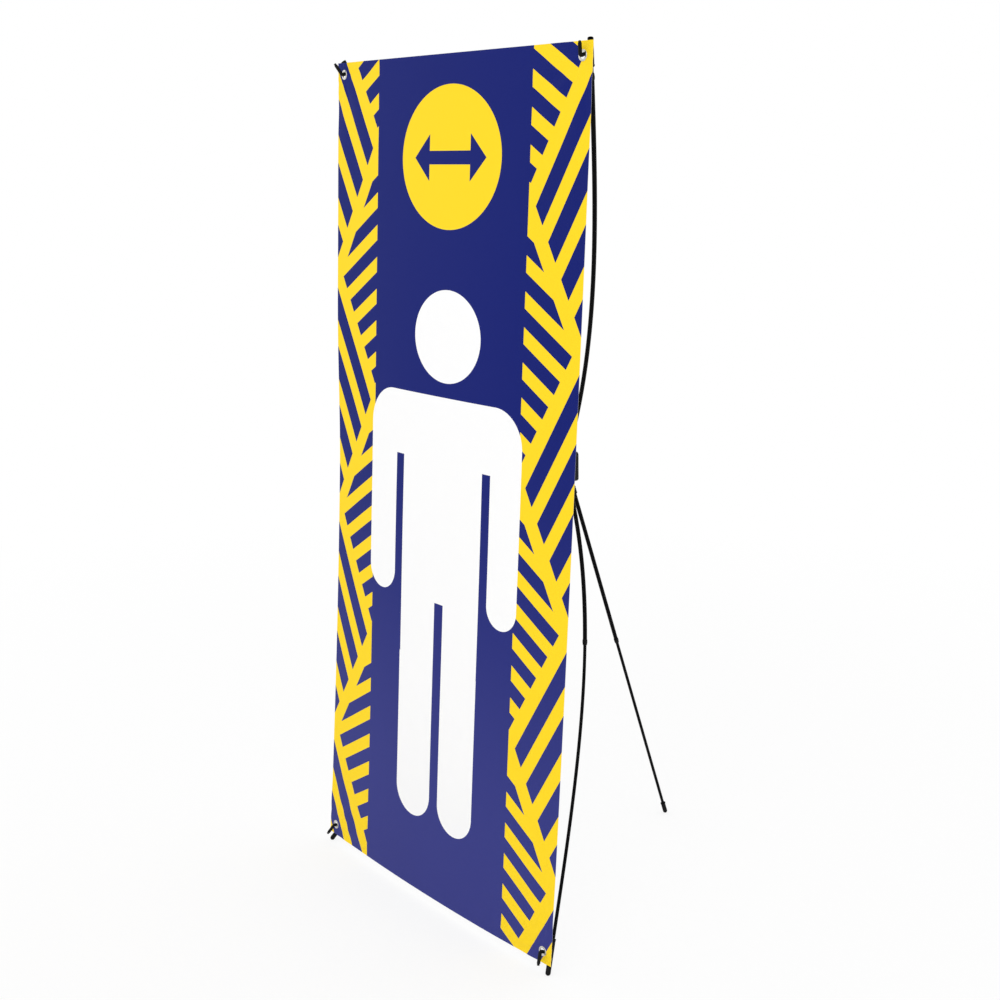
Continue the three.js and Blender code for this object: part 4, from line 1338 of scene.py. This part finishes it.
def knuckle_rings(half, eye):
    """Places, half widths, half depths and powers of a knuckle's rings: close round the eye and the
    neck, wide on the plain barrel, close again on the ribs and the rim, and then down the socket. The
    barrel tapers evenly, and each rib adds an exponential of minus the distance from its middle, as a
    share of its half width, to the fourth."""
    ribs_from = BARREL_MOUTH - BARREL_RIM - RIB_COUNT * RIB_PITCH
    out = np.concatenate([
        -eye * np.cos(np.linspace(0, np.pi / 2, 14)),
        np.linspace(0.0004, BARREL_START + 0.001, 24),
        np.linspace(BARREL_START + 0.002, ribs_from - 0.001, 8),
        np.linspace(ribs_from - 0.0005, BARREL_MOUTH, 70),
    ])
    eye_width = np.sqrt(np.maximum(0, eye**2 - out**2))
    neck = np.where(out < np.sqrt(eye**2 - NECK_HALF**2), eye_width, NECK_HALF)
    taper = np.clip((out - BARREL_START) / (ribs_from - BARREL_START), 0, 1)
    barrel = BARREL_RADIUS + (BARREL_END - BARREL_RADIUS) * taper
    rib_half = RIB_THICK * 0.42
    for rib in range(RIB_COUNT):
        middle = ribs_from + rib * RIB_PITCH + RIB_THICK / 2
        barrel = barrel + RIB_RISE * np.exp(-(((out - middle) / rib_half) ** 4))
    rim_from, edge = BARREL_MOUTH - 0.0031, 0.0006
    barrel = barrel + RIM_RISE * smooth_step(out, rim_from, rim_from + edge)
    barrel = barrel - edge * smooth_step(out, BARREL_MOUTH - edge, BARREL_MOUTH)
    share = smooth_step(out, NECK_END, BARREL_START)
    width = neck + (barrel - neck) * share
    depth = half + (barrel - half) * share
    power = NECK_POWER ** (1 - share) * ROUND_POWER**share
    bore, chamfer = TUBE_RADIUS + SEAT_GAP / 2, 0.0004
    down = [bore + chamfer, bore, bore, 0.0]
    out = np.append(out, [BARREL_MOUTH, BARREL_MOUTH - chamfer, SOCKET_FLOOR, SOCKET_FLOOR])
    power = np.append(power, np.full(len(down), float(ROUND_POWER)))
    return out, np.append(width, down), np.append(depth, down), power


def knuckle_mesh(matrix, half, eye, cant):
    """A knuckle: closed rings along the arm, each a superellipse, on which the shares of the half width
    and of the half depth, both to one power, add up to 1. At the eye the half width follows the eye's
    circle and the power is high, so that the flanks are flat. Past the neck all three go over to the
    round barrel, whose axis tilts to the front by the tangent of its cant times the way out."""
    out, width, depth, power = knuckle_rings(half, eye)
    angle = np.arange(KNUCKLE_SIDES) * FULL_TURN / KNUCKLE_SIDES
    across = np.sign(np.cos(angle)) * np.abs(np.cos(angle)) ** (2 / power[:, None])
    back = np.sign(np.sin(angle)) * np.abs(np.sin(angle)) ** (2 / power[:, None])
    lean = np.tan(cant) * out * smooth_step(out, NECK_END, BARREL_START)
    height = np.broadcast_to(out[:, None], across.shape)
    points = np.stack(
        [width[:, None] * across, depth[:, None] * back - lean[:, None], height], axis=-1)
    faces = grid_faces(len(out), KNUCKLE_SIDES)
    return surface(placed(matrix, points), faces, grid_corners(out, KNUCKLE_SIDES))


class BANNER_OT_knuckles(bpy.types.Operator):
    """Make the knuckles that hold the poles in the hub"""

    bl_idname = "banner_stand.knuckles"
    bl_label = "Knuckles"

    def execute(self, context):
        for name in ARMS:
            mesh = knuckle_mesh(Arm(name).matrix, KNUCKLE_HALF, EYE_RADIUS, ARM_CANT)
            piece("socket_" + name, mesh, "arm_" + name, "moulded_plastic", "knuckle_" + name)
        quarter = LEG_MATRIX @ basis((0, 0, 0), (0, 1, 0), (-1, 0, 0), (0, 0, 1))
        mesh = knuckle_mesh(quarter, LEG_KNUCKLE_HALF, LEG_EYE_RADIUS, 0.0)
        piece("socket_leg", mesh, "rear_leg", "moulded_plastic", "knuckle_leg")
        return {"FINISHED"}


# The hooks and feet

def cap_profile(mouth, end, cup):
    """A cap: the bore that takes the rod, a rim at its mouth, two shallow grooves, a plain barrel, and
    either a round end or, on an upper cap, a square one with a cup in it."""
    bore, chamfer, edge = ROD_RADIUS + SEAT_GAP / 2, 0.0003, 0.0004
    rim, rim_end = CAP_RADIUS + CAP_RIM_RISE, mouth + CAP_RIM
    points = [
        (-CAP_FLOOR, 0.0),
        (-CAP_FLOOR, bore),
        (mouth + chamfer, bore + chamfer),
        (mouth, bore + 0.0005),
        (mouth, rim - edge),
        (mouth + edge, rim),
        (rim_end - edge, rim),
        (rim_end, rim - edge),
        (rim_end + edge / 2, CAP_RADIUS),
    ]
    for groove in CAP_GROOVES:
        start = mouth + groove
        points += [
            (start, CAP_RADIUS),
            (start + 0.0003, CAP_RADIUS - GROOVE_DEPTH),
            (start + 0.0008, CAP_RADIUS - GROOVE_DEPTH),
            (start + 0.0011, CAP_RADIUS),
        ]
    if cup:
        hollow = end - HOOK_CUP_DEPTH
        square = [(hollow, CAP_RADIUS), (end, CAP_RADIUS), (end, HOOK_CUP),
                  (hollow, HOOK_CUP - 0.0003), (hollow, 0.0)]
        return points + softened(square, 0.0006, 5).tolist()
    turn = np.linspace(0, np.pi / 2, 12)[:-1]
    dome_at = end - CAP_RADIUS
    points += [(dome_at + CAP_RADIUS * np.sin(t), CAP_RADIUS * np.cos(t)) for t in turn]
    return [*points, (end, 0.0)]


def peg_profile(rise):
    """A peg: a root in the cap whose flare falls off exponentially, an even bar round the bend, and a
    thinner tip on the nose."""
    total = rise + PEG_BEND * np.pi / 2 + NOSE_REACH - PEG_BEND
    tip_from = total - NOSE_TIP_LENGTH
    root_to, bar_from, fall = 0.010, 0.0105, 0.0013
    root = np.linspace(PEG_ROOT, root_to, 12)
    flare = [(s, PEG_RADIUS + PEG_FLARE * np.exp(-(s - PEG_ROOT) / fall)) for s in root]
    bar = [(s, PEG_RADIUS) for s in np.linspace(bar_from, tip_from - 0.0008, 60)]
    tip = [
        (tip_from - 0.0007, PEG_RADIUS),
        (tip_from, PEG_RADIUS - 0.0002),
        (tip_from + 0.0002, NOSE_TIP),
        (total - 0.0003, NOSE_TIP - 0.0001),
        (total, NOSE_TIP - 0.0006),
        (total, 0.0),
    ]
    return [(PEG_ROOT, 0.0), *flare, *bar, *softened(tip, 0.0004, 4)]


def tab_profile():
    """A short round tab with a flared root."""
    points = [
        (TAB_ROOT, 0.0),
        (TAB_ROOT, TAB_RADIUS + 0.0006),
        (CAP_RADIUS + 0.0006, TAB_RADIUS),
        (TAB_REACH, TAB_RADIUS - 0.0001),
        (TAB_REACH, 0.0),
    ]
    return softened(points, 0.0005, 4)


def standing(mesh):
    """A foot's mesh with what lies under the floor brought up to it, as a face worn flat."""
    points = np.empty(len(mesh.vertices) * 3)
    mesh.vertices.foreach_get("co", points)
    points = points.reshape(-1, 3)
    points[:, 2] = np.maximum(points[:, 2], 0.0)
    mesh.vertices.foreach_set("co", points.ravel())
    mesh.update()
    return mesh


class BANNER_OT_hooks(bpy.types.Operator):
    """Make the hooked caps on the arms, the lower two with feet"""

    bl_idname = "banner_stand.hooks"
    bl_label = "Hooks and Feet"

    def execute(self, context):
        sides = context.scene.banner_hardware.sides
        for name in ARMS:
            arm = Arm(name)
            at = arm.frame_at(arm.end)
            to_floor = reach_to_floor(at[:3, 3], at[:3, 1]) + CAP_RADIUS
            profile = cap_profile(-CAP_SOCKET, HOOK_END if arm.upper else to_floor, arm.upper)
            cap = turned(at, straight, profile, sides)
            rise = arm.peg_reach + PEG_FRONT - PEG_BEND
            mesh = united(cap, turned(at, peg_line(rise), peg_profile(rise), PEG_SIDES))
            if not arm.upper:
                mesh = standing(mesh)
            node = ("banner_hook_" if arm.upper else "hook_foot_") + name
            piece("hook_" + name, mesh, "arm_" + name, "moulded_plastic", node)
        at = leg_frame(reach_to_floor(LEG_PIN, LEG_OUT) - CAP_RADIUS)
        cap = turned(at, straight, cap_profile(-LEG_CAP_SOCKET, 2 * CAP_RADIUS, False), sides)
        place = placed(at, np.array([0, -TAB_UP, 0]))
        tab_at = basis(place, at[:3, 0], -at[:3, 2], at[:3, 1])
        tab = turned(tab_at, straight, tab_profile(), TAB_SIDES)
        piece("foot_leg", standing(united(cap, tab)), "rear_leg", "foot_rubber", "leg_foot")
        return {"FINISHED"}


# The hub

def moulded_copy(node, edge):
    """A CAD node's mesh with its doubles merged, its flat faces joined up and its edges rounded."""
    work = bmesh.new()
    work.from_mesh(frame["nodes"][node].data)
    bmesh.ops.remove_doubles(work, verts=work.verts, dist=SHELL_DOUBLES)
    bmesh.ops.dissolve_limit(
        work, angle_limit=SHELL_FLAT, verts=work.verts, edges=work.edges, delimit=set())
    mesh = bpy.data.meshes.new(node)
    work.to_mesh(mesh)
    work.free()
    finished = applied((mesh,), "BEVEL", width=edge, segments=SHELL_ROUND_STEPS,
                       limit_method="ANGLE", angle_limit=SHELL_ROUND_FROM)
    finished.shade_smooth()
    finished.set_sharp_from_angle(angle=SHELL_HARD_EDGE)
    return finished


class BANNER_OT_hub(bpy.types.Operator):
    """Make the hub's two shells"""

    bl_idname = "banner_stand.hub"
    bl_label = "Hub"

    def execute(self, context):
        edge = context.scene.banner_hardware.edge
        for name, node in (("hub_front", "hub_front_shell"), ("hub_back", "hub_rear_shell")):
            piece(name, moulded_copy(node, edge), "hub", "moulded_plastic", node)
        return {"FINISHED"}


def pin_profile(first, last):
    """A pin: a low domed head before the first face, the shank, and a closed tail behind the last. The
    head and tail are as thick at a share t of their radius as the root of (1 - t to a power)."""
    head, tail = first - SEAT_GAP, last + SEAT_GAP
    share = np.linspace(0, 1, 12)
    dome = [
        (head - PIN_HEAD_THICK * np.sqrt(max(0.0, 1 - t**2.6)), PIN_HEAD * t) for t in share
    ]
    closed = [
        (tail + PIN_TAIL_THICK * np.sqrt(max(0.0, 1 - t**3)), PIN_TAIL * t) for t in share[::-1]
    ]
    return [*dome, (head, PIN_RADIUS), (tail, PIN_RADIUS), *closed]


def screw_mesh(matrix, front):
    """A pan head screw, turned, with a pointed shank. Its head rises by the root of (1 - the share of
    its radius to the fourth), and a cross is pressed into it where a point lies near one of two
    crossing lines and within the cross's reach."""
    head = front - SEAT_GAP
    fine_to, plain_from = 0.0026, 0.0028
    rings = np.concatenate([np.linspace(0, fine_to, 30), np.linspace(plain_from, SCREW_HEAD, 10)])
    angle = np.arange(SCREW_SIDES) * FULL_TURN / SCREW_SIDES
    across, up = rings[:, None] * np.cos(angle), rings[:, None] * np.sin(angle)
    top = head - SCREW_HEAD_THICK * np.sqrt(np.maximum(0, 1 - (rings / SCREW_HEAD) ** 4))[:, None]
    line = np.minimum(np.abs(across), np.abs(up))
    reach = np.maximum(np.abs(across), np.abs(up))
    cross = smooth_step(line, *CROSS_SIDES) * smooth_step(reach, *CROSS_ENDS)
    depth = top + CROSS_DEPTH * cross * (1 - reach / CROSS_RUN_OUT)
    points = [np.stack([across, depth, up], axis=-1)]
    shank = ((head, SCREW_SHANK), (front + SCREW_DEPTH - SCREW_POINT, SCREW_SHANK),
             (front + SCREW_DEPTH, 0.0))
    for along, radius in shank:
        ring = [radius * np.cos(angle), np.full(SCREW_SIDES, along), radius * np.sin(angle)]
        points.append(np.stack(ring, axis=-1)[None])
    points = np.concatenate(points)
    return surface(placed(matrix, points), grid_faces(len(points), SCREW_SIDES))


class BANNER_OT_fasteners(bpy.types.Operator):
    """Make the hub's pins and screws"""

    bl_idname = "banner_stand.fasteners"
    bl_label = "Pins and Screws"

    def execute(self, context):
        across = HUB @ basis((0, 0, 0), (0, -1, 0), (1, 0, 0), (0, 0, 1))
        across[:3, 3] = LEG_PIN
        arm_pin = pin_profile(FRONT_PLATE_FRONT - BOSS_THICK, BACK_PLATE_BACK)
        pins = [(name, Arm(name).pin, arm_pin) for name in ARMS]
        pins.append(("leg", across, pin_profile(-CHEEK_OUTSIDE, CHEEK_OUTSIDE)))
        for name, at, profile in pins:
            mesh = turned(at, straight, profile, PIN_SIDES)
            piece("pin_" + name, mesh, "hub", "dark_steel", "pivot_pin_" + name)
        for word, level in (("upper", 1), ("lower", -1)):
            mesh = screw_mesh(HUB @ moved((0, 0, level * SCREW_UP)), FRONT_PLATE_FRONT)
            piece("screw_" + word, mesh, "hub", "dark_steel", "hub_screw_" + word)
        return {"FINISHED"}


# The studio

def seen_directly(tree):
    """1 where the camera sees a place, straight or by a reflection or through something clear."""
    path = put(tree, "ShaderNodeLightPath").outputs
    camera, glossy, through = (
        Number(tree, path[name])
        for name in ("Is Camera Ray", "Is Glossy Ray", "Is Transmission Ray")
    )
    return camera | glossy | through


def mixed_shader(tree, share, first, second):
    """Two shaders mixed by a share."""
    return put(tree, "ShaderNodeMixShader", {0: share, 1: first, 2: second}).outputs[0]


def floor_material():
    """A white floor that keeps the stand's shadow. The camera sees plain white in place of a share of
    the floor, which grows with the distance from the stand until no edge shows against the sky."""
    material, tree, shader, at = blank("Studio Floor")
    join(tree, shader, {
        "Base Color": (0.96, 0.96, 0.96, 1.0),
        "Roughness": 0.9,
        "Specular IOR Level": 0.05,
    })
    white = put(tree, "ShaderNodeEmission", {"Color": WHITE, "Strength": 1.0}).outputs[0]
    away = put(tree, "ShaderNodeVectorMath", {0: at["Object"]}, operation="LENGTH")
    white_share = spread(tree, away.outputs["Value"], *FLOOR_WHITE, *FLOOR_FADE)
    share = seen_directly(tree) * white_share
    shown = mixed_shader(tree, share, shader.outputs[0], white)
    join(tree, tree.get_output_node("ALL"), {"Surface": shown})
    return material


def sky_world(strength):
    """An even white sky, whose strength is 1 where the camera or a reflection sees it."""
    world = bpy.data.worlds.new("studio")
    world.use_nodes = True
    tree = world.node_tree
    tree.nodes.clear()
    light, white = (
        put(tree, "ShaderNodeBackground", {"Color": WHITE, "Strength": s}).outputs[0]
        for s in (strength, 1.0)
    )
    shown = mixed_shader(tree, seen_directly(tree), light, white)
    put(tree, "ShaderNodeOutputWorld", {"Surface": shown})
    return world


def area_lamp(name, place, size, watts):
    """A square lamp that looks at the stand."""
    data = bpy.data.lights.new(name, "AREA")
    data.shape = "SQUARE"
    data.size = size
    data.energy = watts
    lamp = bpy.data.objects.new(name, data)
    bpy.context.scene.collection.objects.link(lamp)
    back = unit(np.subtract(place, LAMP_TARGET))
    side = unit(np.cross((0, 0, 1), back))
    lamp.matrix_world = Matrix(basis(place, side, np.cross(back, side), back).tolist())


def fitted_camera(studio):
    """The camera, from its direction round the stand, its tilt and its roll."""
    a, e, r = studio.azimuth, studio.elevation, studio.roll
    back = np.array([np.sin(a) * np.cos(e), -np.cos(a) * np.cos(e), np.sin(e)])
    right = unit(np.cross(-back, (0, 0, 1)))
    up = np.cross(back, right)
    side = np.cos(r) * right + np.sin(r) * up
    top = np.cos(r) * up - np.sin(r) * right
    data = bpy.data.cameras.new("camera")
    data.sensor_width = 36.0
    data.lens = studio.lens
    data.shift_x, data.shift_y = studio.shift
    data.clip_start, data.clip_end = 0.05, 100.0
    camera = bpy.data.objects.new("camera", data)
    bpy.context.scene.collection.objects.link(camera)
    foot = SHEET[:3, 3] * [0, 1, 0]
    place = foot + np.array(studio.place)
    camera.matrix_world = Matrix(basis(place, side, top, back).tolist())
    return camera


class BANNER_OT_studio(bpy.types.Operator):
    """Make the floor, the light and the camera"""

    bl_idname = "banner_stand.studio"
    bl_label = "Studio"

    def execute(self, context):
        scene, studio = context.scene, context.scene.banner_studio
        scene.camera = fitted_camera(studio)
        mesh = bpy.data.meshes.new("floor")
        corners = [(x * FLOOR_REACH, y * FLOOR_REACH, 0)
                   for x, y in ((-1, -1), (1, -1), (1, 1), (-1, 1))]
        mesh.from_pydata(corners, [], [(0, 1, 2, 3)])
        mesh.materials.append(floor_material())
        floor = bpy.data.objects.new("floor", mesh)
        scene.collection.objects.link(floor)
        for name, place, size, power in LAMPS:
            area_lamp(name, place, size, getattr(studio, power))
        scene.world = sky_world(studio.sky)
        scene.view_settings.view_transform = "Standard"
        return {"FINISHED"}


# The add-on

OPERATORS = (
    BANNER_OT_sheet,
    BANNER_OT_rings,
    BANNER_OT_poles,
    BANNER_OT_knuckles,
    BANNER_OT_hooks,
    BANNER_OT_hub,
    BANNER_OT_fasteners,
    BANNER_OT_studio,
)

SETTINGS = {
    "banner_sheet": BannerSheetSettings,
    "banner_poles": PoleSettings,
    "banner_hardware": HardwareSettings,
    "banner_studio": StudioSettings,
}


class BANNER_PT_panel(bpy.types.Panel):
    """The stand's pieces, one button each, and their settings"""

    bl_idname = "BANNER_PT_panel"
    bl_label = "Banner Stand"
    bl_space_type = "VIEW_3D"
    bl_region_type = "UI"
    bl_category = "Banner Stand"

    def draw(self, context):
        column = self.layout.column()
        for operator in OPERATORS:
            column.operator(operator.bl_idname)
        for name in SETTINGS:
            column.label(text=name.replace("_", " ").title())
            settings = getattr(context.scene, name)
            for key in settings.bl_rna.properties.keys():
                if key not in ("rna_type", "name"):
                    column.prop(settings, key)


CLASSES = (*SETTINGS.values(), *OPERATORS, BANNER_PT_panel)


def register():
    """Registers the classes and puts the settings on the scene."""
    for cls in CLASSES:
        bpy.utils.register_class(cls)
    for name, settings in SETTINGS.items():
        setattr(bpy.types.Scene, name, PointerProperty(type=settings))


def unregister():
    """Takes the settings and the classes out again."""
    for name in SETTINGS:
        delattr(bpy.types.Scene, name)
    for cls in reversed(CLASSES):
        bpy.utils.unregister_class(cls)


def main():
    """Makes the stand and the studio."""
    register()
    for operator in OPERATORS:
        group, name = operator.bl_idname.split(".")
        getattr(getattr(bpy.ops, group), name)()


if __name__ == "__main__":
    main()
